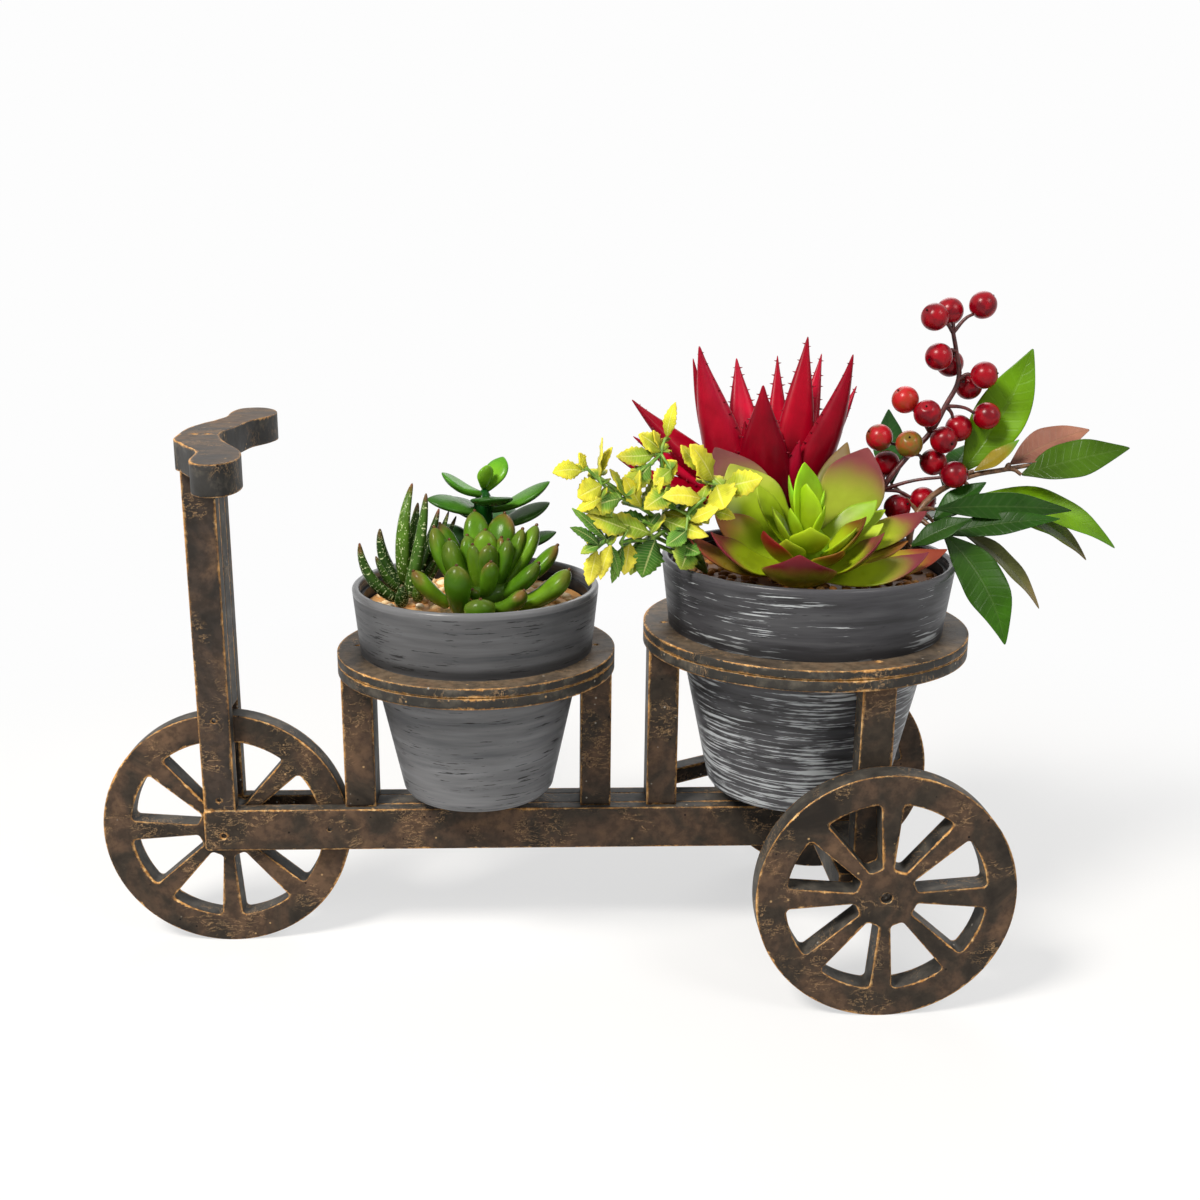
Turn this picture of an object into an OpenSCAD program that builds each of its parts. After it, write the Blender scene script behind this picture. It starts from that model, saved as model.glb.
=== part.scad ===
// Tricycle planter: a painted fibreboard tricycle that carries two pots of artificial plants.
// +X points to the back of the tricycle, +Y to its right side, +Z up.
// The front wheel's axle stands over x = 0 until the whole model is shifted to its origin.

/* [Wheels] */
// Radius of the front wheel
front_wheel_r = 56; // [50:0.5:56.5]
// Radius of both rear wheels
rear_wheel_r = 55; // [50:0.5:60]
// Thickness of the front wheel board
front_wheel_t = 9.5; // [8:0.5:12]
// Thickness of each rear wheel board
rear_wheel_t = 10.5; // [8:0.5:14]
// Distance from the front axle to the rear axle
wheelbase = 289; // [285:1:294]
// Number of spokes in each wheel
spokes = 8; // [6:1:10]
// Width of a spoke where it meets the rim
spoke_rim_w = 9; // [7:0.5:10]
// Width of a spoke where it meets the hub
spoke_hub_w = 5; // [4:0.5:6]
// Width of the wheel rim, measured along the radius
rim_w = 12.5; // [10:0.5:15]
// Radius of the solid hub
hub_r = 13; // [12:0.5:16]
// Radius of the rounded corners of the wheel openings
opening_corner_r = 2; // [1:0.25:2.5]

/* [Beam] */
// Thickness of each rail board
rail_t = 6.5; // [5:0.5:9]
// Height of the rails and of the centre beam
rail_h = 19.5; // [17:0.5:22]
// Height of the rails' lower edge over the floor
rail_z = 49; // [48:0.5:50]
// Distance from the front axle to the front end of the rails
rail_nose = 8.5; // [7:0.5:12]
// Distance from the front axle to the back end of the beam
beam_end = 299; // [298:1:306]
// Radius of the rails' front corners
rail_corner_r = 1.5; // [0.5:0.25:3]
// Free space on each side of the front wheel between the rails
wheel_side_gap = 0.5; // [0.3:0.1:1]
// Width of the board that crosses under the beam at the rear axle
cross_w = 26; // [24:1:30]
// Height of that cross board
cross_h = 12; // [10:0.5:13]
// Distance from the front axle to the middle of the cross board
cross_x = 284; // [282:1:286]
// Distance from the middle of the beam to each end of the cross board
cross_reach = 65.5; // [60:0.5:72]
// Free space between each rear wheel and the cross board
wheel_end_gap = 0.5; // [0.3:0.1:1.5]

/* [Front post and handlebar] */
// Width of each front post board
post_w = 14; // [12:0.5:16]
// Distance from the front axle to the middle of the posts, forwards
post_forward = 1; // [0:0.5:2]
// Height of the handlebar's top face over the floor
bar_top_z = 238; // [200:1:260]
// Thickness of the handlebar board
bar_t = 12.5; // [9:0.5:16]
// Width of the handlebar's arms
bar_w = 17.6; // [14:0.2:20]
// Distance from the middle of the bar to the centre of each rounded tip
bar_reach = 82; // [60:1:95]
// How far each tip is swept back
bar_sweep = 15.5; // [8:0.5:22]
// Angle by which the handlebar is nailed on, turned from square
bar_turn = 7.5; // [0:0.5:12]
// Free height between the front wheel and the block that fills the post
post_block_gap = 4; // [3:0.5:8]

/* [Pot rings] */
// Distance from the front axle to the centre of the small ring
small_ring_x = 115.8; // [112:0.2:118]
// Height of the small ring's top face
small_ring_z = 143; // [132:1:150]
// Outer radius of the small ring
small_ring_r = 62; // [60:0.5:66]
// Distance from the front axle to the centre of the large ring
large_ring_x = 263.4; // [262:0.2:265]
// Height of the large ring's top face
large_ring_z = 153.5; // [148:0.5:160]
// Outer radius of the large ring
large_ring_r = 72.5; // [71:0.5:76]
// Thickness of the upper plate of each ring
ring_top_t = 3.8; // [3:0.2:6]
// Thickness of the lower plate of each ring
ring_base_t = 5.2; // [3:0.2:8]
// Depth of the groove that shows between the two plates
ring_groove = 0.6; // [0.2:0.1:1]
// Free space between a ring's hole and the pot inside it
ring_fit = 1; // [0.6:0.1:1.6]
// Width of each ring leg, seen from the side
leg_w = 13.8; // [11:0.2:16]
// Depth of each ring leg, across the tricycle
leg_d = 17; // [12:0.5:18]
// Depth of the two legs on the cross board, across the tricycle
side_leg_d = 11; // [9:0.2:11]
// How far the small ring's legs stand in from the ring's edge
small_leg_inset = 1.5; // [0.5:0.1:1.6]
// How far the large ring's front leg stands in from the ring's edge
large_leg_inset = 2; // [0.5:0.1:2.4]
// Height of the stay between the large ring's front leg and its right leg
stay_h = 7.5; // [5:0.5:7.5]
// Width of the stay, measured across the tricycle
stay_w = 9.5; // [7:0.5:11]

/* [Pots] */
// Height of the small pot
small_pot_h = 97; // [90:1:110]
// Radius of the small pot's foot
small_foot_r = 33.6; // [30:0.2:36]
// Height of the small pot's collar
small_collar_h = 29.5; // [24:0.5:34]
// Radius of the small pot at its rim
small_rim_r = 54.5; // [53.5:0.1:56]
// Height of the large pot
large_pot_h = 108; // [100:1:120]
// Radius of the large pot's foot
large_foot_r = 41; // [38:0.2:43]
// Height of the large pot's collar
large_collar_h = 31.5; // [27:0.5:36]
// Radius of the large pot at its rim
large_rim_r = 64.8; // [63.8:0.1:66]
// Growth of a pot's radius for each millimetre of height under the collar
pot_taper = 0.215; // [0.19:0.005:0.22]
// How far the collar steps out past the body of a pot
collar_step = 3.6; // [3:0.1:4]
// Wall of each pot
pot_wall = 3.2; // [2.4:0.2:4]
// Floor of each pot
pot_floor = 4; // [3:0.5:5]
// Radius of the drain hole
drain_r = 5; // [3:0.5:7]
// Wall of the plastic liner inside each pot
liner_wall = 1.2; // [0.8:0.1:1.6]
// Free space between a liner and its pot
liner_fit = 0.4; // [0.3:0.1:0.6]
// Height of the pebble layer on the foam
gravel_t = 5; // [3:0.5:8]
// How far the pebbles lie under the small pot's rim
small_gravel_drop = 7.5; // [6:0.5:12]
// How far the pebbles lie under the large pot's rim
large_gravel_drop = 7; // [6:0.5:12]
// How far a liner's rim stands up over the pebbles
liner_lip = 2.5; // [1:0.5:4]

/* [Pins and nails] */
// Radius of the front axle pin
front_pin_r = 1.35; // [1:0.05:2]
// Radius of the rear axle pins
rear_pin_r = 2.4; // [2:0.05:3]
// Running clearance between a pin and its wheel, on the radius
pin_fit = 0.08; // [0.03:0.01:0.1]
// Radius of a nail's shank
nail_r = 1.1; // [0.8:0.1:1.4]
// Length of the nails that hold the ring plates to their legs
ring_nail_l = 20; // [14:1:26]
// How far pins and nails are sunk under the face of the board
sink = 1.2; // [0.6:0.1:2]
// How deep the rear pins reach into the cross board
rear_pin_grip = 24; // [16:1:30]

/* [Plants] */
// Radius of the peg under each plant
peg_r = 2; // [1.5:0.1:3]
// Length of the peg in the foam
peg_l = 14; // [8:1:20]
// Clearance of a peg in the pebbles and the foam, on the radius
peg_fit = 0.15; // [0.1:0.05:0.3]
// Radius of a berry
berry_r = 6; // [4.5:0.1:6.2]

/* [Hidden] */

// Round parts are drawn with this many sides
$fn = 96;
// A hair of extra length, so that a cut passes right through
eps = 0.01;
// How far the leaf spray's foot lies behind the middle of the large pot
spray_back = 44;
// How far the leaf spray's longest tip lies behind the foot of the spray
spray_reach = 99.95;

paint = "#4a3a30";
paint_dark = "#3c322c";
steel = "#8b8b88";

// Widths across the tricycle
beam_gap = front_wheel_t + 2 * wheel_side_gap;
beam_half = beam_gap / 2 + rail_t;
rail_top = rail_z + rail_h;
beam_front = front_wheel_r + 5;
rail_nail_x = beam_front - 13;
cross_bottom = rear_wheel_r - cross_h / 2;
cross_top = rear_wheel_r + cross_h / 2;
wheel_inner_y = cross_reach + wheel_end_gap;
wheel_outer_y = wheel_inner_y + rear_wheel_t;
bar_bottom_z = bar_top_z - bar_t;
post_x = -post_forward;
ring_t = ring_top_t + ring_base_t;

// Places of the ring legs, worked out from the rings
small_leg_reach = small_ring_r - small_leg_inset - leg_w / 2;
small_leg_front_x = small_ring_x - small_leg_reach;
small_leg_rear_x = small_ring_x + small_leg_reach;
large_leg_front_x = large_ring_x - large_ring_r + large_leg_inset + leg_w / 2;
side_leg_y = cross_reach - side_leg_d / 2;
small_leg_top = small_ring_z - ring_t;
large_leg_top = large_ring_z - ring_t;

// Pots hang in the rings by their collars
small_foot_z = small_ring_z - (small_pot_h - small_collar_h);
large_foot_z = large_ring_z - (large_pot_h - large_collar_h);
small_body_top_r = small_foot_r + pot_taper * (small_pot_h - small_collar_h);
large_body_top_r = large_foot_r + pot_taper * (large_pot_h - large_collar_h);
small_hole_r = small_body_top_r + ring_fit;
large_hole_r = large_body_top_r + ring_fit;
small_gravel_z = small_foot_z + small_pot_h - small_gravel_drop;
large_gravel_z = large_foot_z + large_pot_h - large_gravel_drop;
lip_r = pot_wall / 2;

// The front axle's place, with the origin under the middle of the whole model
axle_x = (front_wheel_r - large_ring_x - spray_back - spray_reach) / 2;
axle_y = -bar_sweep * sin(bar_turn);

// Moves a piece from the front axle's frame to the model's origin
module placed() {
    translate([axle_x, axle_y, 0]) children();
}

// A board lying along X: from x0 to x1, from y0 to y1, from z0 to z1
module board(x0, x1, y0, y1, z0, z1) {
    translate([x0, y0, z0]) cube([x1 - x0, y1 - y0, z1 - z0]);
}

// A pin along Y, from y0 to y1
module pin_y(x, z, r, y0, y1) {
    translate([x, y0, z]) rotate([-90, 0, 0]) cylinder(r = r, h = y1 - y0);
}

// A pin along Z, from z0 to z1
module pin_z(x, y, r, z0, z1) {
    translate([x, y, z0]) cylinder(r = r, h = z1 - z0);
}

// One wheel opening between two spokes, as a flat outline with rounded corners
module opening_outline(r) {
    ro = r - rim_w;
    pitch = 360 / spokes;
    c = opening_corner_r;
    // Angles of the four corner centres, measured from the middle of the opening
    ao = pitch / 2 - asin((spoke_rim_w / 2 + c) / (ro - c));
    ai = pitch / 2 - asin((spoke_hub_w / 2 + c) / (hub_r + c));
    arc = [for (i = [0:8]) let (a = -ao + 2 * ao * i / 8) [ro * cos(a), ro * sin(a)]];
    outer_side = spoke_side(ro - c, ao, c);
    inner_side = spoke_side(hub_r + c, ai, c);
    polygon(concat(arc, [outer_side, inner_side, [hub_r * cos(ai), hub_r * sin(ai)],
        [hub_r * cos(ai), -hub_r * sin(ai)], mirror_y(inner_side), mirror_y(outer_side)]));
    for (s = [-1, 1]) {
        rotate(s * ao) translate([ro - c, 0]) circle(r = c, $fn = 24);
        rotate(s * ai) translate([hub_r + c, 0]) circle(r = c, $fn = 24);
    }
}

// The point where a corner circle meets the side of the spoke
function spoke_side(r, a, c) =
    let (n = 90 + 180 / spokes)
    [r * cos(a) + c * cos(n), r * sin(a) + c * sin(n)];

function mirror_y(p) = [p[0], -p[1]];

// A spoked wheel cut from board, lying in the XZ plane between y0 and y0 + t
module wheel(r, t, bore, y0) {
    translate([0, y0 + t, r]) rotate([90, 0, 0]) difference() {
        cylinder(r = r, h = t, $fn = 180);
        translate([0, 0, -1]) cylinder(r = bore, h = t + 2);
        for (i = [0:spokes - 1])
            rotate((i + 0.5) * 360 / spokes)
                translate([0, 0, -1]) linear_extrude(t + 2) opening_outline(r);
    }
}

// A side rail on the -Y side, notched from below for the cross board
module rail() {
    c = rail_corner_r;
    difference() {
        translate([0, -beam_gap / 2, 0]) rotate([90, 0, 0]) linear_extrude(rail_t) {
            translate([-rail_nose + c, rail_z]) square([beam_end + rail_nose - c, rail_h]);
            translate([-rail_nose, rail_z + c]) square([c + eps, rail_h - 2 * c]);
            for (z = [rail_z + c, rail_top - c])
                translate([-rail_nose + c, z]) circle(r = c, $fn = 32);
        }
        cross_notch();
        pin_y(0, front_wheel_r, front_pin_r, -beam_half - 1, 0);
        pin_y(rail_nail_x, rail_z + rail_h / 2, nail_r, -beam_half - 1, 0);
    }
}

// The notch that the cross board fills in the rails and the centre beam
module cross_notch() {
    board(cross_x - cross_w / 2, cross_x + cross_w / 2, -beam_half - 1, beam_half + 1,
        rail_z - 1, cross_top);
}

module rail_left() {
    color(paint) placed() rail();
}

module rail_right() {
    color(paint) placed() mirror([0, 1, 0]) rail();
}

module center_beam() {
    color(paint_dark) placed() difference() {
        board(beam_front, beam_end, -beam_gap / 2, beam_gap / 2, rail_z, rail_top);
        cross_notch();
    }
}

module rear_cross_board() {
    color(paint_dark) placed() difference() {
        board(cross_x - cross_w / 2, cross_x + cross_w / 2, -cross_reach, cross_reach,
            cross_bottom, cross_top);
        for (s = [-1, 1])
            scale_side(s) pin_y(wheelbase, rear_wheel_r, rear_pin_r,
                -cross_reach - 1, -cross_reach + rear_pin_grip);
    }
}

// Mirrors a piece across the tricycle when s is 1
module scale_side(s) {
    if (s > 0) mirror([0, 1, 0]) children();
    else children();
}

// A front post board on the -Y side, standing on its rail
module post_board() {
    difference() {
        board(post_x - post_w / 2, post_x + post_w / 2, -beam_half, -beam_gap / 2,
            rail_top, bar_bottom_z);
        for (z = post_nail_z) pin_y(post_x, z, nail_r, -beam_half - 1, 0);
    }
}

// Heights of the two nails in each post board
post_nail_z = [rail_top + 5, rail_top + 43];
// Length of the nails in the posts
post_nail_l = rail_t - sink;

module post_board_left() {
    color(paint) placed() post_board();
}

module post_board_right() {
    color(paint) placed() mirror([0, 1, 0]) post_board();
}

// The block between the two post boards, over the wheel
module post_block() {
    color(paint_dark) placed() difference() {
        board(post_x - post_w / 2, post_x + post_w / 2, -beam_gap / 2, beam_gap / 2,
            2 * front_wheel_r + post_block_gap, bar_bottom_z);
        bar_nail_shanks(bar_bottom_z - bar_nail_grip, bar_bottom_z + 1);
    }
}

// Distance between the two nails on the handlebar, and their depth in the block
bar_nail_gap = 5.5;
bar_nail_grip = 14;

module bar_nail_shanks(z0, z1) {
    for (s = [-1, 1]) pin_z(post_x + s * bar_nail_gap / 2, 0, nail_r, z0, z1);
}

// Half of the handlebar's plan: straight arms joined by round elbows
module bar_arm() {
    elbow = [0.62 * bar_sweep, 0.53 * bar_reach];
    tip = [bar_sweep, bar_reach];
    bar_link([0, 0], elbow);
    bar_link(elbow, tip);
    for (p = [[0, 0], elbow, tip]) translate(p) circle(d = bar_w);
}

module bar_link(a, b) {
    d = b - a;
    translate(a) rotate(atan2(d[1], d[0])) translate([0, -bar_w / 2]) square([norm(d), bar_w]);
}

module handlebar() {
    color(paint) placed() difference() {
        translate([post_x - 1, 0, bar_bottom_z]) rotate([0, 0, bar_turn]) linear_extrude(bar_t) {
            bar_arm();
            mirror([0, 1]) bar_arm();
        }
        bar_nail_shanks(bar_bottom_z - 1, bar_top_z + 1);
    }
}

// A flat ring plate with its hole
module ring_plate(r, hole, t) {
    difference() {
        cylinder(r = r, h = t, $fn = 180);
        translate([0, 0, -1]) cylinder(r = hole, h = t + 2, $fn = 180);
    }
}

// The lower plate has a rebate round its top edge, which shows as a dark groove
module ring_base(r, hole, t) {
    difference() {
        ring_plate(r, hole, t);
        translate([0, 0, t - ring_groove]) difference() {
            cylinder(r = r + 1, h = 1, $fn = 180);
            translate([0, 0, -1]) cylinder(r = r - ring_groove, h = 3, $fn = 180);
        }
    }
}

// The nails that go down through a ring into its legs
small_nail_spots = [[small_leg_front_x, 0], [small_leg_rear_x, 0]];
large_side_leg_x = large_ring_x + 20;
large_nail_spots = [[large_leg_front_x, 0], [large_side_leg_x, -side_leg_y],
    [large_side_leg_x, side_leg_y]];

module ring_nail_holes(spots, z) {
    for (p = spots) pin_z(p[0], p[1], nail_r, z - ring_t - ring_nail_l, z + 1);
}

module small_ring_top() {
    color(paint) placed() difference() {
        translate([small_ring_x, 0, small_ring_z - ring_top_t])
            ring_plate(small_ring_r, small_hole_r, ring_top_t);
        ring_nail_holes(small_nail_spots, small_ring_z);
    }
}

module small_ring_base() {
    color(paint) placed() difference() {
        translate([small_ring_x, 0, small_ring_z - ring_t])
            ring_base(small_ring_r, small_hole_r, ring_base_t);
        ring_nail_holes(small_nail_spots, small_ring_z);
    }
}

module large_ring_top() {
    color(paint) placed() difference() {
        translate([large_ring_x, 0, large_ring_z - ring_top_t])
            ring_plate(large_ring_r, large_hole_r, ring_top_t);
        ring_nail_holes(large_nail_spots, large_ring_z);
    }
}

module large_ring_base() {
    color(paint) placed() difference() {
        translate([large_ring_x, 0, large_ring_z - ring_t])
            ring_base(large_ring_r, large_hole_r, ring_base_t);
        ring_nail_holes(large_nail_spots, large_ring_z);
    }
}

// A ring leg centred on x and y, with the nail's hole in its top
module ring_leg(x, y, z0, z1, depth = leg_d) {
    difference() {
        board(x - leg_w / 2, x + leg_w / 2, y - depth / 2, y + depth / 2, z0, z1);
        pin_z(x, y, nail_r, z1 + ring_t - sink - ring_nail_l, z1 + 1);
    }
}

module small_ring_leg_front() {
    color(paint) placed() ring_leg(small_leg_front_x, 0, rail_top, small_leg_top);
}

module small_ring_leg_rear() {
    color(paint) placed() ring_leg(small_leg_rear_x, 0, rail_top, small_leg_top);
}

module large_ring_leg_front() {
    color(paint) placed() ring_leg(large_leg_front_x, 0, rail_top, large_leg_top);
}

module large_ring_leg_left() {
    color(paint) placed() ring_leg(large_side_leg_x, -side_leg_y, cross_top,
        large_leg_top, side_leg_d);
}

module large_ring_leg_right() {
    color(paint) placed() ring_leg(large_side_leg_x, side_leg_y, cross_top,
        large_leg_top, side_leg_d);
}

// A low stay that runs slanting from the front leg to the right leg, on the beam
module side_stay() {
    x0 = large_leg_front_x - leg_w / 4;
    x1 = large_side_leg_x - leg_w / 2;
    y0 = leg_d / 2;
    y1 = side_leg_y - side_leg_d / 2 + 1;
    color(paint_dark) placed() translate([0, 0, rail_top]) linear_extrude(stay_h)
        polygon([[x0, y0], [x1, y1], [x1, y1 + stay_w], [x0, y0 + stay_w]]);
}

module front_axle() {
    color(steel) placed()
        pin_y(0, front_wheel_r, front_pin_r, -beam_half + sink, beam_half - sink);
}

module rear_axle() {
    pin_y(wheelbase, rear_wheel_r, rear_pin_r, -wheel_outer_y + 2 * sink,
        -cross_reach + rear_pin_grip);
}

module rear_axle_left() {
    color(steel) placed() rear_axle();
}

module rear_axle_right() {
    color(steel) placed() mirror([0, 1, 0]) rear_axle();
}

// The small nails in the posts and behind the front wheel
module post_nails() {
    color(steel) placed() for (s = [-1, 1]) scale_side(s) {
        for (z = post_nail_z) pin_y(post_x, z, nail_r, -beam_half + sink, -beam_half + rail_t);
        pin_y(rail_nail_x, rail_z + rail_h / 2, nail_r, -beam_half + sink,
            -beam_half + rail_t);
    }
}

module bar_nails() {
    color(steel) placed() bar_nail_shanks(bar_bottom_z - bar_nail_grip, bar_top_z - sink);
}

module ring_nails() {
    color(steel) placed() {
        for (p = small_nail_spots)
            pin_z(p[0], p[1], nail_r, small_ring_z - sink - ring_nail_l, small_ring_z - sink);
        for (p = large_nail_spots)
            pin_z(p[0], p[1], nail_r, large_ring_z - sink - ring_nail_l, large_ring_z - sink);
    }
}

module front_wheel() {
    color(paint) placed()
        wheel(front_wheel_r, front_wheel_t, front_pin_r + pin_fit, -front_wheel_t / 2);
}

module rear_wheel() {
    translate([wheelbase, 0, 0])
        wheel(rear_wheel_r, rear_wheel_t, rear_pin_r + pin_fit, -wheel_outer_y);
}

module rear_wheel_left() {
    color(paint) placed() rear_wheel();
}

module rear_wheel_right() {
    color(paint) placed() mirror([0, 1, 0]) rear_wheel();
}

// A hollow pot standing on z = 0: a tapered body, a stepped collar and a rounded lip
module pot(h, foot, collar_h, rim) {
    neck_z = h - collar_h;
    neck = foot + pot_taper * neck_z;
    shoulder = neck + collar_step;
    w = pot_wall;
    top = h - lip_r;
    heel = 3;
    difference() {
        rotate_extrude($fn = 180) {
            polygon(concat(
                [[0, 0], [foot - heel, 0]],
                [for (a = [15:15:75]) [foot - heel + heel * sin(a), heel - heel * cos(a)]],
                [[foot + pot_taper * heel, heel], [neck, neck_z - eps], [neck, neck_z],
                [shoulder, neck_z], [rim, top], [rim - w, top], [rim - w, h - collar_h / 2],
                [foot - w + pot_taper * pot_floor, pot_floor], [0, pot_floor]]));
            translate([rim - lip_r, top]) circle(r = lip_r, $fn = 32);
        }
        translate([0, 0, -1]) cylinder(r = drain_r, h = pot_floor + 2);
    }
}

module small_pot() {
    color("#5b5e61") placed() translate([small_ring_x, 0, small_foot_z])
        pot(small_pot_h, small_foot_r, small_collar_h, small_rim_r);
}

module large_pot() {
    color("#3a3b3f") placed() translate([large_ring_x, 0, large_foot_z])
        pot(large_pot_h, large_foot_r, large_collar_h, large_rim_r);
}

// Inner radius of a pot at a height over its foot
function pot_inner(foot, h, collar_h, rim, z) =
    let (r0 = foot - pot_wall + pot_taper * pot_floor, z1 = h - collar_h / 2)
    z >= z1 ? rim - pot_wall : r0 + (rim - pot_wall - r0) * (z - pot_floor) / (z1 - pot_floor);

// The thin liner cup inside a pot, standing on the pot's floor
module liner(h, foot, collar_h, rim, top) {
    f = liner_fit;
    w = liner_wall;
    r0 = pot_inner(foot, h, collar_h, rim, pot_floor) - f;
    r1 = pot_inner(foot, h, collar_h, rim, top) - f;
    z1 = min(h - collar_h / 2, top);
    rotate_extrude($fn = 120) polygon([[0, pot_floor], [r0 - 1, pot_floor],
        [r0, pot_floor + 1], [r1, z1], [r1, top], [r1 - w, top], [r1 - w, z1],
        [r0 - w, pot_floor + 1 + w], [0, pot_floor + 1 + w]]);
}

module small_liner() {
    color("#26272a") placed() translate([small_ring_x, 0, small_foot_z])
        liner(small_pot_h, small_foot_r, small_collar_h, small_rim_r,
            small_pot_h - small_gravel_drop + liner_lip);
}

module large_liner() {
    color("#26272a") placed() translate([large_ring_x, 0, large_foot_z])
        liner(large_pot_h, large_foot_r, large_collar_h, large_rim_r,
            large_pot_h - large_gravel_drop + liner_lip);
}

// Radius that the foam and the pebbles fill in a liner
function fill_r(foot, h, collar_h, rim, z) =
    pot_inner(foot, h, collar_h, rim, z) - liner_fit - liner_wall;

// The foam block that holds the plants' pegs, from the liner's floor to the pebbles
module foam(h, foot, collar_h, rim, top) {
    z0 = pot_floor + 1 + liner_wall;
    r0 = fill_r(foot, h, collar_h, rim, pot_floor);
    z1 = h - collar_h / 2;
    r1 = fill_r(foot, h, collar_h, rim, top);
    rotate_extrude($fn = 120) polygon(top > z1
        ? [[0, z0], [r0, z0], [r1, z1], [r1, top], [0, top]]
        : [[0, z0], [r0, z0], [r1, top], [0, top]]);
}

module small_foam() {
    color("#4f5a45") placed() difference() {
        translate([small_ring_x, 0, small_foot_z]) foam(small_pot_h, small_foot_r,
            small_collar_h, small_rim_r, small_pot_h - small_gravel_drop - gravel_t);
        for (p = small_pegs) peg_hole(p, small_gravel_z);
    }
}

module large_foam() {
    color("#4f5a45") placed() difference() {
        translate([large_ring_x, 0, large_foot_z]) foam(large_pot_h, large_foot_r,
            large_collar_h, large_rim_r, large_pot_h - large_gravel_drop - gravel_t);
        for (p = large_pegs) peg_hole(p, large_gravel_z);
    }
}

module small_gravel() {
    color("#b89468") placed() difference() {
        pin_z(small_ring_x, 0, fill_r(small_foot_r, small_pot_h, small_collar_h, small_rim_r,
            small_pot_h - small_gravel_drop), small_gravel_z - gravel_t, small_gravel_z);
        for (p = small_pegs) peg_hole(p, small_gravel_z);
    }
}

module large_gravel() {
    color("#a67b4c") placed() difference() {
        pin_z(large_ring_x, 0, fill_r(large_foot_r, large_pot_h, large_collar_h, large_rim_r,
            large_pot_h - large_gravel_drop), large_gravel_z - gravel_t, large_gravel_z);
        for (p = large_pegs) peg_hole(p, large_gravel_z);
    }
}

// A hole for a plant's peg, from over the pebbles down into the foam
module peg_hole(p, z) {
    pin_z(p[0], p[1], peg_r + peg_fit, z - peg_l, z + 1);
}

// Where the plants stand: the haworthia, the jade sprig and the finger rosette
haworthia_at = [small_ring_x - 29, -8];
jade_at = [small_ring_x + 5, 15];
finger_at = [small_ring_x + 9, -17];
small_pegs = [haworthia_at, jade_at, finger_at];

// The aloe, the echeveria, the yellow sprig, the berry branch and the leaf spray
aloe_at = [large_ring_x - 8, 30];
echeveria_at = [large_ring_x - 3, -19];
sprig_at = [large_ring_x - 46, -8];
berry_at = [large_ring_x + 26, 20];
spray_at = [large_ring_x + spray_back, -4];
large_pegs = [aloe_at, echeveria_at, sprig_at, berry_at, spray_at];

// Run, height and slope along a spine whose slope turns evenly from a0 to a1
function bow(l, a0, a1, s) =
    let (turn = (a1 - a0) * PI / 180, a = a0 + (a1 - a0) * s)
    abs(a1 - a0) < 1
        ? [l * s * cos(a0), l * s * sin(a0), a]
        : [l * (sin(a) - sin(a0)) / turn, l * (cos(a0) - cos(a)) / turn, a];

// Half width along a leaf: narrow at the foot, widest at the belly, closing to the tip
function leaf_half(w, s, belly, foot) =
    s < belly
        ? w / 2 * (foot + (1 - foot) * sin(90 * s / belly))
        : w / 2 * pow(max(0, 1 - pow((s - belly) / (1 - belly), 2)), 0.75);

// The leaf stops just short of its point, where it is this wide and thick
tip_half = 0.25;
tip_at = 0.985;

// Rings of points round a bowed spine, each a flattened hexagon or square turned by roll
function leaf_points(l, w, t, a0, a1, belly, foot, roll, sides, rings) = [
    for (i = [0:rings]) let (
            s = tip_at * i / rings,
            c = bow(l, a0, a1, s),
            hw = max(tip_half, leaf_half(w, s, belly, foot)),
            ht = max(tip_half, hw * t / w)
        ) for (k = [0:sides - 1]) let (
                a = 360 * k / sides,
                side = hw * cos(a) * cos(roll) - ht * sin(a) * sin(roll),
                up = hw * cos(a) * sin(roll) + ht * sin(a) * cos(roll)
            ) [c[0] - up * sin(c[2]), side, c[1] + up * cos(c[2])]
];

// Rings of n points each, joined ring to ring and closed at both ends
function tube_faces(n, rings) = concat(
    [[for (k = [0:n - 1]) k]],
    [for (i = [0:rings - 2]) for (k = [0:n - 1])
        let (a = i * n + k, b = i * n + (k + 1) % n) each
        [[a, a + n, b], [b, a + n, b + n]]],
    [[for (k = [n - 1:-1:0]) (rings - 1) * n + k]]);

// One leaf from its foot, turned about Z, with its slope going from a0 to a1
module leaf(at, turn, l, w, t, a0, a1, belly = 0.45, foot = 0.5, roll = 0, sides = 6, rings = 5) {
    translate(at) rotate([0, 0, turn])
        polyhedron(leaf_points(l, w, t, a0, a1, belly, foot, roll, sides, rings),
            tube_faces(sides, rings + 1));
}

// A thin round rod between two points
module rod(a, b, r) {
    hull() {
        translate(a) sphere(r = r, $fn = 6);
        translate(b) sphere(r = r, $fn = 6);
    }
}

// Rods from point to point
module stem(path, r) {
    for (i = [1:len(path) - 1]) rod(path[i - 1], path[i], r);
}

function unit(v) = v / norm(v);

// The peg of a plant and the low crown that its leaves grow from
module crown(at, z, r, h) {
    translate([at[0], at[1], z - peg_l]) linear_extrude(peg_l + h / 2) circle(r = peg_r, $fn = 12);
    translate([at[0], at[1], z]) cylinder(r1 = r, r2 = r * 0.6, h = h, $fn = 10);
}

// Turn between one leaf of a rosette and the next
golden_turn = 137.5;

// A rosette whose leaves go from low and long outside to steep and short inside.
// Each pair of values is for the outermost and the innermost leaf.
module rosette(count, len, wide, thick, rise, fall, belly, foot, lift, start = 0, rings = 5) {
    for (i = [0:count - 1]) {
        f = i / (count - 1);
        z = lift * f;
        rod([0, 0, -2], [0, 0, z], wide[1] / 4);
        leaf([0, 0, z], start + i * golden_turn, mix(len, f), mix(wide, f), mix(thick, f),
            mix(rise, f), mix(fall, f), belly, foot, rings = rings);
    }
}

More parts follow.
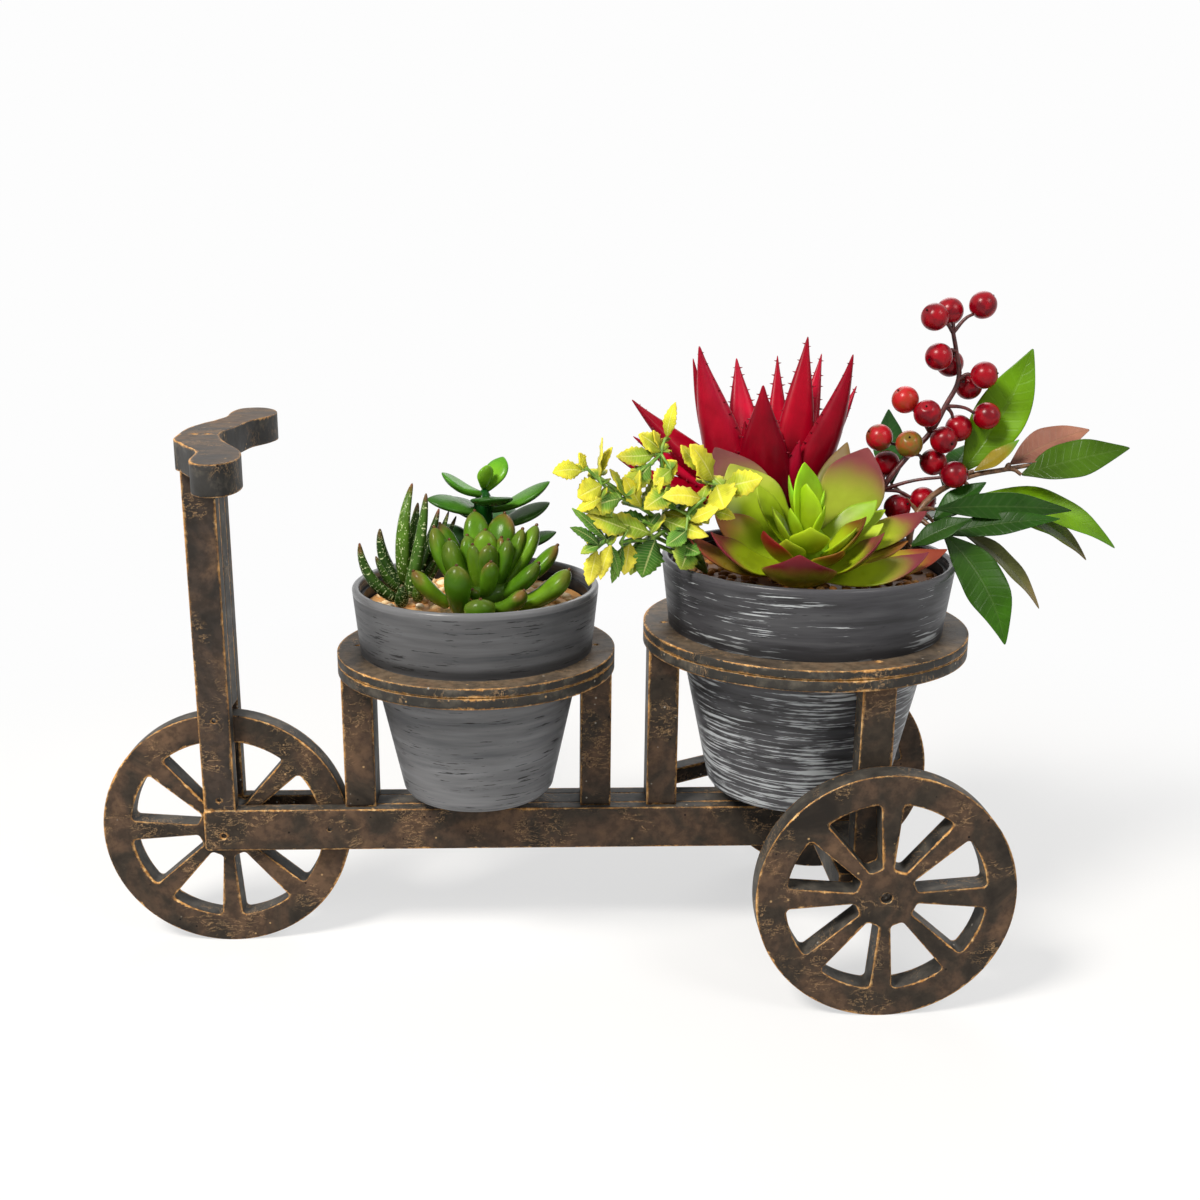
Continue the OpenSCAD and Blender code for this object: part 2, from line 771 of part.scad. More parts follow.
function mix(pair, f) = pair[0] + (pair[1] - pair[0]) * f;

// Each leaf of the haworthia: turn, length, slope at the foot and at the tip
haworthia_leaves = [[205, 38, 74, 44], [170, 38, 72, 46], [130, 42, 78, 60], [85, 46, 82, 72],
    [60, 56, 84, 76], [15, 50, 76, 58], [335, 46, 74, 54], [300, 40, 72, 50],
    [262, 38, 68, 42], [230, 34, 56, 26], [188, 30, 46, 22], [355, 58, 86, 78],
    [110, 54, 84, 80], [240, 48, 82, 68]];

module haworthia() {
    color("#3f6a34") placed() {
        crown(haworthia_at, small_gravel_z, 7, 5);
        for (p = haworthia_leaves) translate([haworthia_at[0], haworthia_at[1], small_gravel_z]) {
            rod([0, 0, 0], [0, 0, 3], 2);
            leaf([0, 0, 2], p[0], p[1], 7, 4.6, p[2], p[3], 0.25, 0.8);
        }
    }
}

// The jade sprig: pairs of leaves up a stem, each pair square to the one under it.
// Each pair: height, turn, length, slope at the foot and at the tip
jade_pairs = [[26, 20, 27, 22, -4], [32, 100, 26, 30, 8], [38, 15, 27, 34, 8],
    [44, 95, 22, 46, 26], [50, 30, 17, 62, 50]];

module jade_sprig() {
    color("#2f7a35") placed() {
        crown(jade_at, small_gravel_z, 3, 4);
        translate([jade_at[0], jade_at[1], small_gravel_z]) {
            rod([0, 0, 1], [0, 0, 26], 1.8);
            for (p = jade_pairs) for (s = [0, 180]) {
                rod([0, 0, p[0] - 6], [0, 0, p[0]], 1.6);
                leaf([0, 0, p[0]], p[1] + s, p[2], 0.56 * p[2], 4, p[3], p[4], 0.62, 0.22,
                    25);
            }
        }
    }
}

module finger_rosette() {
    color("#3f8a35") placed() {
        crown(finger_at, small_gravel_z, 9, 6);
        translate([finger_at[0], finger_at[1], small_gravel_z + 5]) rotate([14, 0, 0])
            rosette(22, [34, 26], [10, 8.5], [7.5, 6], [14, 76], [30, 84], 0.6, 0.55, 8);
    }
}

// Each leaf of the aloe: turn, length, slope at the foot and at the tip, roll
aloe_leaves = [[205, 92, 58, 70, -40], [225, 80, 68, 80, -25], [255, 66, 66, 82, 0],
    [150, 84, 76, 84, 0], [95, 88, 82, 86, 0], [50, 82, 76, 84, 0], [330, 84, 64, 76, 40],
    [305, 72, 60, 74, 25], [186, 92, 30, 40, -60], [172, 84, 20, 26, -60],
    [282, 60, 58, 80, 0], [15, 80, 64, 74, 30], [125, 72, 58, 68, 0], [75, 68, 54, 62, 0]];

module red_aloe() {
    color("#a3142c") placed() {
        crown(aloe_at, large_gravel_z, 9, 16);
        translate([aloe_at[0], aloe_at[1], large_gravel_z + 14]) {
            rod([0, 0, -2], [0, 0, 6], 4);
            for (i = [0:len(aloe_leaves) - 1]) {
                p = aloe_leaves[i];
                foot = [2 * cos(p[0]), 2 * sin(p[0]), 0.3 * i];
                rod([0, 0, 0.4 * i - 1], foot, 2.5);
                leaf(foot, p[0], p[1], 17, 6, p[2], p[3], 0.28, 0.75, p[4]);
            }
        }
    }
}

module echeveria() {
    color("#9dbb3a") placed() {
        crown(echeveria_at, large_gravel_z, 12, 8);
        translate([echeveria_at[0], echeveria_at[1], large_gravel_z + 7]) rotate([16, 0, 0])
            rosette(21, [56, 34], [26, 13], [4, 3], [12, 78], [26, 86], 0.66, 0.45, 12, 20, 4);
    }
}

// Each twig of the sprig: turn, length, slope at the foot and at the tip
sprig_twigs = [[212, 80, 62, 10], [224, 68, 50, -10], [222, 72, 84, 42], [196, 78, 88, 56],
    [250, 56, 80, 34], [213, 60, 36, -20], [270, 62, 86, 70]];
sprig_leaf_count = 5;

module variegated_sprig() {
    color("#b9bd3f") placed() {
        crown(sprig_at, large_gravel_z, 4, 5);
        translate([sprig_at[0], sprig_at[1], large_gravel_z + 2]) for (p = sprig_twigs)
            rotate([0, 0, p[0]]) {
                stem([for (s = [0:1 / 3:1.01]) let (c = bow(p[1], p[2], p[3], s)) [c[0], 0, c[1]]],
                    0.8);
                for (i = [1:sprig_leaf_count]) {
                    c = bow(p[1], p[2], p[3], 0.4 + 0.6 * i / sprig_leaf_count);
                    leaf([c[0], 0, c[1]], 180 * i + 60 - 10 * i, 16, 10, 1.2, 30, 10, 0.5,
                        0.3, 30, 4, 3);
                }
            }
    }
}

// The berry branch: a bowed main stem, and a short stalk to every berry
berry_base = [berry_at[0], berry_at[1], large_gravel_z];
berry_path = [[0, 0, 1], [4, -4, 20], [9, -8, 34], [20, -9, 50], [29, -9, 60], [35, -9, 72],
    [40, -9, 84], [38, -9, 96], [36, -9, 104]];
// Each berry: the point of the stem that its stalk leaves, then its place from the foot
berry_spots = [[8, 26, -14, 111], [8, 35, -5, 113], [8, 48, -10, 116], [7, 29, -14, 94],
    [7, 38, -1, 90], [6, 50, -13, 86], [6, 47, -2, 80], [5, 53, -12, 68], [5, 42, -8, 62],
    [4, 16, -12, 75], [4, 24, -20, 70], [3, 6, -10, 58], [3, 18, -16, 56], [4, 33, -17, 58],
    [3, 31, -10, 47], [2, 38, -20, 43], [2, 27, -12, 30], [1, 15, -14, 27], [2, 12, -2, 45],
    [1, 3, -13, 33]];

function berry_foot(p) = berry_base + berry_path[p[0]];
function berry_center(p) = berry_base + [p[1], p[2], p[3]];
function berry_way(p) = unit(berry_center(p) - berry_foot(p));
// Radius of a berry's stalk, and its free space to the berry
stalk_r = 0.6;
stalk_gap = 0.1;

module berry_stem() {
    color("#5a2418") placed() {
        crown(berry_at, large_gravel_z, 2.6, 4);
        stem([for (p = berry_path) berry_base + p], 1.2);
        for (p = berry_spots) rod(berry_foot(p),
            berry_center(p) - berry_way(p) * (berry_r + stalk_r + stalk_gap), stalk_r);
    }
}

module berries() {
    color("#a8121f") placed() for (p = berry_spots)
        translate(berry_center(p)) sphere(r = berry_r, $fn = 24);
}

// The leaf spray's twigs, from the foot of its stem
spray_twigs = [
    [[0, 0, 1], [8, -2, 18], [15, 1, 28], [31, 20, 46]],
    [[8, -2, 18], [22, 4, 36], [38, 8, 43], [54, 8, 47]],
    [[8, -2, 18], [14, -6, 22], [19, -8, 20]]
];
// Each leaf: its foot, turn, length, width, slope at the foot and at the tip, roll
spray_leaves = [
    [[31, 20, 46], 10, 58, 24, 68, 56, 70], [[50, 8, 46], 5, 34, 17, 24, 20, 60],
    [[54, 8, 47], 350, 48, 19, 16, 2, 50], [[14, -6, 22], 350, 66, 17, 18, -4, 40],
    [[19, -8, 20], 348, 88, 20, 22, -42, 50], [[22, 4, 36], 356, 72, 16, 0, -44, 50],
    [[18, -10, 18], 318, 66, 20, 6, -84, 50], [[17, -7, 21], 336, 60, 14, 0, -58, 50],
    [[31, 20, 46], 150, 46, 18, 30, 50, 0]
];

module leaf_spray() {
    color("#2c5c2c") placed() {
        crown(spray_at, large_gravel_z, 2.6, 4);
        translate([spray_at[0], spray_at[1], large_gravel_z]) {
            for (p = spray_twigs) stem(p, 1.1);
            for (p = spray_leaves)
                leaf(p[0], p[1], p[2], p[3], 2, p[4], p[5], 0.45, 0.15, p[6]);
        }
    }
}

rail_left();
rail_right();
center_beam();
rear_cross_board();
post_board_left();
post_board_right();
post_block();
handlebar();
small_ring_top();
small_ring_base();
small_ring_leg_front();
small_ring_leg_rear();
large_ring_top();
large_ring_base();
large_ring_leg_front();
large_ring_leg_left();
large_ring_leg_right();
side_stay();
front_axle();
rear_axle_left();
rear_axle_right();
post_nails();
bar_nails();
ring_nails();
front_wheel();
rear_wheel_left();
rear_wheel_right();
small_pot();
small_liner();
small_foam();
small_gravel();
haworthia();
jade_sprig();
finger_rosette();
large_pot();
large_liner();
large_foam();
large_gravel();
red_aloe();
echeveria();
variegated_sprig();
berry_stem();
berries();
leaf_spray();
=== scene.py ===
"""Worn wooden tricycle planter with two pots of artificial plants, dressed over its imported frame."""

import math
import random

import bpy
import bmesh
import numpy as np
from mathutils import Matrix, Vector


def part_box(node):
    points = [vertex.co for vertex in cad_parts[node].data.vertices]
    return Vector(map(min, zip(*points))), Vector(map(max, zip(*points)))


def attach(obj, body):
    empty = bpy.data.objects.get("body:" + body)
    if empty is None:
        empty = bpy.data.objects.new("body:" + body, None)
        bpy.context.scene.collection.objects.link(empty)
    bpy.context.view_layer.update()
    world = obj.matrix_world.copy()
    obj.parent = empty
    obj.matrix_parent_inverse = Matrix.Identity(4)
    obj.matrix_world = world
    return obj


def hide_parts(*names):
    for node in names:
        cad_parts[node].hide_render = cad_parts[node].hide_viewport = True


bl_info = {
    "name": "Tricycle Planter",
    "version": (1, 0, 0),
    "blender": (4, 5, 0),
    "location": "View3D > Sidebar > Planter",
    "description": "Dresses the tricycle planter: worn boards, brushed pots, pebbles and plants",
    "category": "Add Mesh",
}

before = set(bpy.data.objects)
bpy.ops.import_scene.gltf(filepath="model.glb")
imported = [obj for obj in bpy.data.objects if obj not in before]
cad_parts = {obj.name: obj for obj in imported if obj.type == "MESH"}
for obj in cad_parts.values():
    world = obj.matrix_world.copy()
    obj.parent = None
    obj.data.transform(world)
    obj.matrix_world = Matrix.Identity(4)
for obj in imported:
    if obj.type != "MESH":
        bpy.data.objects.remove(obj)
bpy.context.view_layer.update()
bpy.ops.object.select_all(action="DESELECT")

MM = 0.001
SMALL_POT = "small_pot_body"
LARGE_POT = "large_pot_body"
FRAME_BODY = "frame"

# Sockets that share a name with another one go by place: the limits of a Map Range, and the two
# colours of a colour Mix
LOW, HIGH, TO_LOW, TO_HIGH = 1, 2, 3, 4
UNDER, OVER = 6, 7


def pot_axis(node):
    """Where a pot's axis stands, read from the CAD node's box."""
    low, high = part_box(node)
    return Vector(((low.x + high.x) / 2, (low.y + high.y) / 2, 0))


SMALL_AXIS = pot_axis("small_pot")
LARGE_AXIS = pot_axis("large_pot")
SMALL_GRAVEL_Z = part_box("small_gravel")[1].z
LARGE_GRAVEL_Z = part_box("large_gravel")[1].z


def plant_foot(axis, gravel_z, x, y):
    """The point on the pebbles where a plant stands, x and y in millimetres from the pot's axis."""
    return Vector((axis.x + x * MM, axis.y + y * MM, gravel_z))


HAWORTHIA_FOOT = plant_foot(SMALL_AXIS, SMALL_GRAVEL_Z, -29, -8)
JADE_FOOT = plant_foot(SMALL_AXIS, SMALL_GRAVEL_Z, 5, 15)
FINGER_FOOT = plant_foot(SMALL_AXIS, SMALL_GRAVEL_Z, 9, -17)
ALOE_FOOT = plant_foot(LARGE_AXIS, LARGE_GRAVEL_Z, -8, 30)
ECHEVERIA_FOOT = plant_foot(LARGE_AXIS, LARGE_GRAVEL_Z, -3, -19)
SPRIG_FOOT = plant_foot(LARGE_AXIS, LARGE_GRAVEL_Z, -46, -8)
BERRY_FOOT = plant_foot(LARGE_AXIS, LARGE_GRAVEL_Z, 26, 20)
SPRAY_FOOT = plant_foot(LARGE_AXIS, LARGE_GRAVEL_Z, 44, -4)


# Colours and nodes


def linear(code):
    """A colour written as sRGB hex, as the linear RGBA that the shaders take."""
    values = [int(code[i:i + 2], 16) / 255 for i in (1, 3, 5)]
    light = [v / 12.92 if v <= 0.04045 else ((v + 0.055) / 1.055) ** 2.4 for v in values]
    return (*light, 1.0)


def fill(tree, node, inputs):
    """Gives a node's inputs their values, colours, or the first live output of other nodes."""
    for key, value in inputs.items():
        if isinstance(value, bpy.types.Node):
            value = next(output for output in value.outputs if output.enabled)
        if isinstance(value, bpy.types.NodeSocket):
            tree.links.new(value, node.inputs[key])
        else:
            node.inputs[key].default_value = linear(value) if isinstance(value, str) else value


def add(tree, kind, inputs=None, stops=None, **settings):
    """Adds a node with its settings, its inputs by name or place and, for a ramp, its stops."""
    made = tree.nodes.new("ShaderNode" + kind)
    for name, value in settings.items():
        setattr(made, name, value)
    fill(tree, made, inputs or {})
    if stops:
        ramp = made.color_ramp
        while len(ramp.elements) < len(stops):
            ramp.elements.new(0.5)
        for element, (place, value) in zip(ramp.elements, stops):
            element.position = place
            element.color = linear(value)
    return made


def start_material(name, **sockets):
    """A new material with its tree and Principled shader, whose plain values are set on its sockets."""
    material = bpy.data.materials.new(name)
    material.use_nodes = True
    tree = material.node_tree
    shader = tree.nodes["Principled BSDF"]
    for key, value in sockets.items():
        shader.inputs[key.replace("_", " ")].default_value = value
    return material, tree, shader


def per(size_mm):
    """The noise scale whose patches are about this many millimetres across."""
    return 1 / (size_mm * MM)


def seen_by_camera(tree):
    """One where the camera looks, straight, by a gloss or through something clear, and else nought."""
    path = add(tree, "LightPath").outputs
    seen = add(tree, "Math", {0: path["Is Camera Ray"], 1: path["Is Glossy Ray"]}, operation="MAXIMUM")
    return add(tree, "Math", {0: seen, 1: path["Is Transmission Ray"]}, operation="MAXIMUM")


# Board, pot, steel, liner, foam and pebble finishes


def worn_fibreboard(name, broad, low, high, tan_width, cut="#413e3a"):
    """Fibreboard painted dark brown and rubbed back by hand: mottled faces, greyer sawn edges, tan
    board along every arris in a broken line, and scratches, flecks and pits. Broad is the axis that
    the faces look along, 1 for y and 2 for z."""
    material, tree, shader = start_material(name, IOR=1.45, Specular_IOR_Level=0.16)
    spot = add(tree, "TexCoord")
    place = spot.outputs["Object"]
    facing = add(tree, "SeparateXYZ", {0: spot.outputs["Normal"]}).outputs[broad]
    facing = add(tree, "Math", {0: facing}, operation="ABSOLUTE")
    is_face = add(tree, "MapRange", {0: facing, LOW: 0.6, HIGH: 0.8}, interpolation_type="SMOOTHSTEP")

    # Paint rubbed on by hand: large patches, broken up by finer ones
    patches = add(tree, "TexNoise", {"Vector": place, "Scale": per(26), "Detail": 4.0,
                                     "Roughness": 0.6, "Distortion": 0.7})
    fine = add(tree, "TexNoise", {"Vector": place, "Scale": per(4.2), "Detail": 5.0, "Roughness": 0.66})
    painted = add(tree, "ValToRGB", {0: patches},
                  [(0.3, "#241f1b"), (0.44, low), (0.57, high), (0.76, "#69523f")])
    smudge = add(tree, "MapRange", {0: fine, LOW: 0.4, HIGH: 0.64, TO_HIGH: 0.5},
                 interpolation_type="SMOOTHSTEP")
    face = add(tree, "Mix", {0: smudge, UNDER: painted, OVER: "#211e1b"}, data_type="RGBA")
    sawn = add(tree, "TexNoise", {"Vector": place, "Scale": per(9), "Detail": 5.0, "Roughness": 0.6})
    sawn = add(tree, "ValToRGB", {0: sawn}, [(0.34, "#2c2b29"), (0.52, cut), (0.72, "#5a554d")])
    colour = add(tree, "Mix", {0: is_face, UNDER: sawn, OVER: face}, data_type="RGBA")

    # Along an arris the rounded normal leaves the true one, and the paint is rubbed through there in
    # dashes and chips of every length
    rounded = add(tree, "Bevel", {"Radius": tan_width * MM}, samples=8)
    true = add(tree, "NewGeometry").outputs["True Normal"]
    same = add(tree, "VectorMath", {0: rounded, 1: true}, operation="DOT_PRODUCT")
    edge = add(tree, "Math", {0: 1.0, 1: same.outputs["Value"]}, operation="SUBTRACT")
    ragged = add(tree, "TexNoise", {"Vector": place, "Scale": per(2.4), "Detail": 4.0, "Roughness": 0.78})
    stretch = add(tree, "TexNoise", {"Vector": place, "Scale": per(16), "Detail": 2.0})
    kept = add(tree, "Math", {0: ragged, 1: stretch}, operation="ADD")
    limit = add(tree, "MapRange", {0: kept, LOW: 0.78, HIGH: 1.2, TO_LOW: 0.02, TO_HIGH: 0.34})
    over = add(tree, "Math", {0: edge, 1: limit}, operation="SUBTRACT")
    rubbed = add(tree, "MapRange", {0: over, LOW: -0.004, HIGH: 0.018}, interpolation_type="SMOOTHSTEP")
    tan = add(tree, "TexNoise", {"Vector": place, "Scale": per(1.8), "Detail": 3.0})
    tan = add(tree, "ValToRGB", {0: tan}, [(0.33, "#9c6c3a"), (0.5, "#cb9657"), (0.68, "#e6bd84")])
    colour = add(tree, "Mix", {0: rubbed, UNDER: colour, OVER: tan}, data_type="RGBA")

    # A fine crackle in the paint, drawn as thin winding lines in a few rubbed patches
    stretched = (per(9), per(4), per(9)) if broad == 2 else (per(9), per(9), per(4))
    lean = add(tree, "Mapping", {"Vector": place, "Rotation": (0.12, 0.1, 0.2), "Scale": stretched})
    scratch = add(tree, "TexNoise", {"Vector": lean, "Scale": 1.0, "Detail": 5.0, "Roughness": 0.7,
                                     "Distortion": 0.6})
    scratch = add(tree, "Math", {0: scratch, 1: 0.5}, operation="SUBTRACT")
    scratch = add(tree, "Math", {0: scratch}, operation="ABSOLUTE")
    scratch = add(tree, "MapRange", {0: scratch, LOW: 0.011, HIGH: 0.004}, interpolation_type="SMOOTHSTEP")
    where = add(tree, "TexNoise", {"Vector": place, "Scale": per(19), "Detail": 2.0})
    where = add(tree, "MapRange", {0: where, LOW: 0.52, HIGH: 0.64, TO_HIGH: 0.75},
                interpolation_type="SMOOTHSTEP")
    scratch = add(tree, "Math", {0: scratch, 1: where}, operation="MULTIPLY")
    colour = add(tree, "Mix", {0: scratch, UNDER: colour, OVER: "#b28f66"}, data_type="RGBA")

    # Flecks of bare board, grey flecks of plaster, and small dark pits where chips have left
    cells = add(tree, "TexVoronoi", {"Vector": place, "Scale": per(3.6)})
    lot = add(tree, "SeparateColor", {0: cells.outputs["Color"]})
    dot = add(tree, "MapRange", {0: cells, LOW: 0.17, HIGH: 0.1}, interpolation_type="SMOOTHSTEP")
    for channel, share, tone in ((0, 0.93, "#a3865e"), (1, 0.94, "#9d978d"), (2, 0.93, "#14110f")):
        chosen = add(tree, "Math", {0: lot.outputs[channel], 1: share}, operation="GREATER_THAN")
        chosen = add(tree, "Math", {0: chosen, 1: dot}, operation="MULTIPLY")
        colour = add(tree, "Mix", {0: chosen, UNDER: colour, OVER: tone}, data_type="RGBA")

    gloss = add(tree, "MapRange", {0: patches, LOW: 0.3, HIGH: 0.7, TO_LOW: 0.46, TO_HIGH: 0.64})
    height = add(tree, "Math", {0: fine, 1: chosen}, operation="SUBTRACT")
    height = add(tree, "Math", {0: height, 1: scratch}, operation="SUBTRACT")
    bump = add(tree, "Bump", {"Strength": 0.4, "Distance": 0.35 * MM, "Height": height, "Normal": rounded})
    fill(tree, shader, {"Base Color": colour, "Roughness": gloss, "Normal": bump})
    return material


def brushed_ceramic(name, node, collar_h, collar_share, wash, pale, pale_share, black_share):
    """Cast ceramic turned on a wheel under a dry brush: level strokes all the way round, black where
    the wash lay thick and pale where the brush just touched, a painted shadow along the bottom of the
    collar, and a smooth even lip. Pale share has one number for the foot and one for the rim."""
    axis = pot_axis(node)
    foot_z, rim_z = (corner.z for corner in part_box(node))
    collar_z = rim_z - collar_h
    material, tree, shader = start_material(name, IOR=1.48, Specular_IOR_Level=0.24)
    place = add(tree, "TexCoord").outputs["Object"]
    moved = add(tree, "Mapping", {"Vector": place, "Location": (-axis.x, -axis.y, 0)})
    parts = add(tree, "SeparateXYZ", {0: moved})
    z = parts.outputs[2]
    # The strokes wander a little up and down as the pot turned
    sway = add(tree, "TexNoise", {"Vector": place, "Scale": per(45), "Detail": 2.0})
    sway = add(tree, "Math", {0: sway, 1: 2.5 * MM, 2: z}, operation="MULTIPLY_ADD")
    round_pot = add(tree, "CombineXYZ", {0: parts.outputs[0], 1: parts.outputs[1], 2: sway})
    slow = add(tree, "Mapping", {"Vector": round_pot, "Scale": (per(50), per(50), per(4))})
    slow = add(tree, "TexNoise", {"Vector": slow, "Scale": 1.0, "Detail": 3.0, "Roughness": 0.6})
    bristle = add(tree, "Mapping", {"Vector": round_pot, "Scale": (per(26), per(26), per(0.9))})
    bristle = add(tree, "TexNoise", {"Vector": bristle, "Scale": 1.0, "Detail": 4.0, "Roughness": 0.66})
    dash = add(tree, "Mapping", {"Vector": round_pot, "Location": (0.05, 0, 0),
                                 "Scale": (per(13), per(13), per(0.8))})
    dash = add(tree, "TexNoise", {"Vector": dash, "Scale": 1.0, "Detail": 4.0, "Roughness": 0.62})
    patch = add(tree, "TexNoise", {"Vector": place, "Scale": per(24), "Detail": 3.0})
    colour = add(tree, "ValToRGB", {0: slow}, [(0.3, wash[0]), (0.5, wash[1]), (0.72, wash[2])])
    # The collar took a second, darker wash
    collar = add(tree, "MapRange", {0: z, LOW: collar_z, HIGH: collar_z + 1 * MM, TO_LOW: 1.0,
                                    TO_HIGH: collar_share})
    collar = add(tree, "CombineColor", {0: collar, 1: collar, 2: collar})
    colour = add(tree, "Mix", {0: 1.0, UNDER: colour, OVER: collar}, data_type="RGBA",
                 blend_type="MULTIPLY")
    # Pale strokes gather low on each wall, in patches
    touched = add(tree, "Math", {0: patch, 1: 0.5, 2: bristle}, operation="MULTIPLY_ADD")
    limit = add(tree, "MapRange", {0: z, LOW: foot_z, HIGH: rim_z, TO_LOW: pale_share[0],
                                   TO_HIGH: pale_share[1]})
    over = add(tree, "Math", {0: touched, 1: limit}, operation="SUBTRACT")
    strokes = add(tree, "MapRange", {0: over, LOW: 0.0, HIGH: 0.07}, interpolation_type="SMOOTHSTEP")
    colour = add(tree, "Mix", {0: strokes, UNDER: colour, OVER: pale}, data_type="RGBA")
    # Black dashes where the wash stayed, and a painted shadow: a dark band along the bottom of the collar,
    # where the collar meets the ring
    pool = add(tree, "Math", {0: patch, 1: -0.3, 2: dash}, operation="MULTIPLY_ADD")
    dark_dashes_and_painted_shadow = add(tree, "MapRange", {0: pool, LOW: black_share, HIGH: black_share - 0.03, TO_HIGH: 0.9},
                interpolation_type="SMOOTHSTEP")
    from_collar = add(tree, "Math", {0: sway, 1: collar_z + 2.5 * MM}, operation="SUBTRACT")
    from_collar = add(tree, "Math", {0: from_collar}, operation="ABSOLUTE")
    painted_collar_shadow = add(tree, "MapRange", {0: from_collar, LOW: 4.5 * MM, HIGH: 1.5 * MM, TO_HIGH: 0.55},
                 interpolation_type="SMOOTHSTEP")
    dark_dashes_and_painted_shadow = add(tree, "Math", {0: dark_dashes_and_painted_shadow, 1: painted_collar_shadow}, operation="MAXIMUM")
    colour = add(tree, "Mix", {0: dark_dashes_and_painted_shadow, UNDER: colour, OVER: "#18181a"}, data_type="RGBA")
    # The lip and the inside were wiped smooth
    lip = add(tree, "MapRange", {0: z, LOW: rim_z - 3.4 * MM, HIGH: rim_z - 2.2 * MM},
              interpolation_type="SMOOTHSTEP")
    colour = add(tree, "Mix", {0: lip, UNDER: colour, OVER: wash[1]}, data_type="RGBA")
    gloss = add(tree, "MapRange", {0: bristle, LOW: 0.3, HIGH: 0.7, TO_LOW: 0.36, TO_HIGH: 0.54})
    gloss = add(tree, "Mix", {0: lip, "A": gloss, "B": 0.26})
    bump = add(tree, "Bump", {"Strength": 0.25, "Distance": 0.25 * MM, "Height": bristle})
    fill(tree, shader, {"Base Color": colour, "Roughness": gloss, "Normal": bump})
    return material


def drawn_steel(name):
    """Wire nails and pins: drawn mild steel, blued dark with a brown bloom of rust."""
    material, tree, shader = start_material(name, Metallic=1.0)
    place = add(tree, "TexCoord").outputs["Object"]
    bloom = add(tree, "TexNoise", {"Vector": place, "Scale": per(1.2), "Detail": 3.0})
    tone = add(tree, "ValToRGB", {0: bloom}, [(0.35, "#3a2c22"), (0.6, "#5b5752"), (0.8, "#86817a")])
    gloss = add(tree, "MapRange", {0: bloom, LOW: 0.3, HIGH: 0.7, TO_LOW: 0.65, TO_HIGH: 0.4})
    fill(tree, shader, {"Base Color": tone, "Roughness": gloss})
    return material


def moulded_polypropylene(name):
    """The liner cups: thin injection-moulded polypropylene, satin, a little dusty."""
    material, tree, shader = start_material(name, Roughness=0.42, IOR=1.49, Specular_IOR_Level=0.16)
    place = add(tree, "TexCoord").outputs["Object"]
    dust = add(tree, "TexNoise", {"Vector": place, "Scale": per(6), "Detail": 4.0, "Roughness": 0.6})
    tone = add(tree, "ValToRGB", {0: dust}, [(0.4, "#1d1e1f"), (0.75, "#343537")])
    bump = add(tree, "Bump", {"Strength": 0.1, "Distance": 0.2 * MM, "Height": dust})
    fill(tree, shader, {"Base Color": tone, "Normal": bump})
    return material


def dry_floral_foam(name):
    """Blown phenolic foam that holds the stems: dull green, its open cells drawn 0.9 mm across so
    that they show as pores."""
    material, tree, shader = start_material(name, Roughness=0.95)
    place = add(tree, "TexCoord").outputs["Object"]
    cells = add(tree, "TexVoronoi", {"Vector": place, "Scale": per(0.9)})
    tone = add(tree, "ValToRGB", {0: cells}, [(0.1, "#2f3d26"), (0.5, "#4f6a3c")])
    bump = add(tree, "Bump", {"Strength": 0.5, "Distance": 0.3 * MM, "Height": cells})
    fill(tree, shader, {"Base Color": tone, "Normal": bump})
    return material


def tumbled_pebbles(name, tones, vein):
    """River pebbles, tumbled smooth: each has its own tan, with faint veins and a waxy skin."""
    material, tree, shader = start_material(name, Roughness=0.6, IOR=1.5, Specular_IOR_Level=0.2)
    lot = add(tree, "Attribute", attribute_name="lot").outputs["Fac"]
    place = add(tree, "TexCoord").outputs["Object"]
    own = add(tree, "ValToRGB", {0: lot}, tones)
    veins = add(tree, "TexNoise", {"Vector": place, "Scale": per(1.6), "Detail": 4.0, "Distortion": 0.8})
    share = add(tree, "MapRange", {0: veins, LOW: 0.42, HIGH: 0.7, TO_HIGH: 0.35},
                interpolation_type="SMOOTHSTEP")
    colour = add(tree, "Mix", {0: share, UNDER: own, OVER: vein}, data_type="RGBA")
    bump = add(tree, "Bump", {"Strength": 0.25, "Distance": 0.15 * MM, "Height": veins})
    fill(tree, shader, {"Base Color": colour, "Normal": bump})
    return material


# Leaf, stem and berry finishes. Each leaf carries its own body and tip colour, how far along it a
# point is (0 foot, 1 tip), how far across (-1 to 1) and how far up through it (-1 to 1).


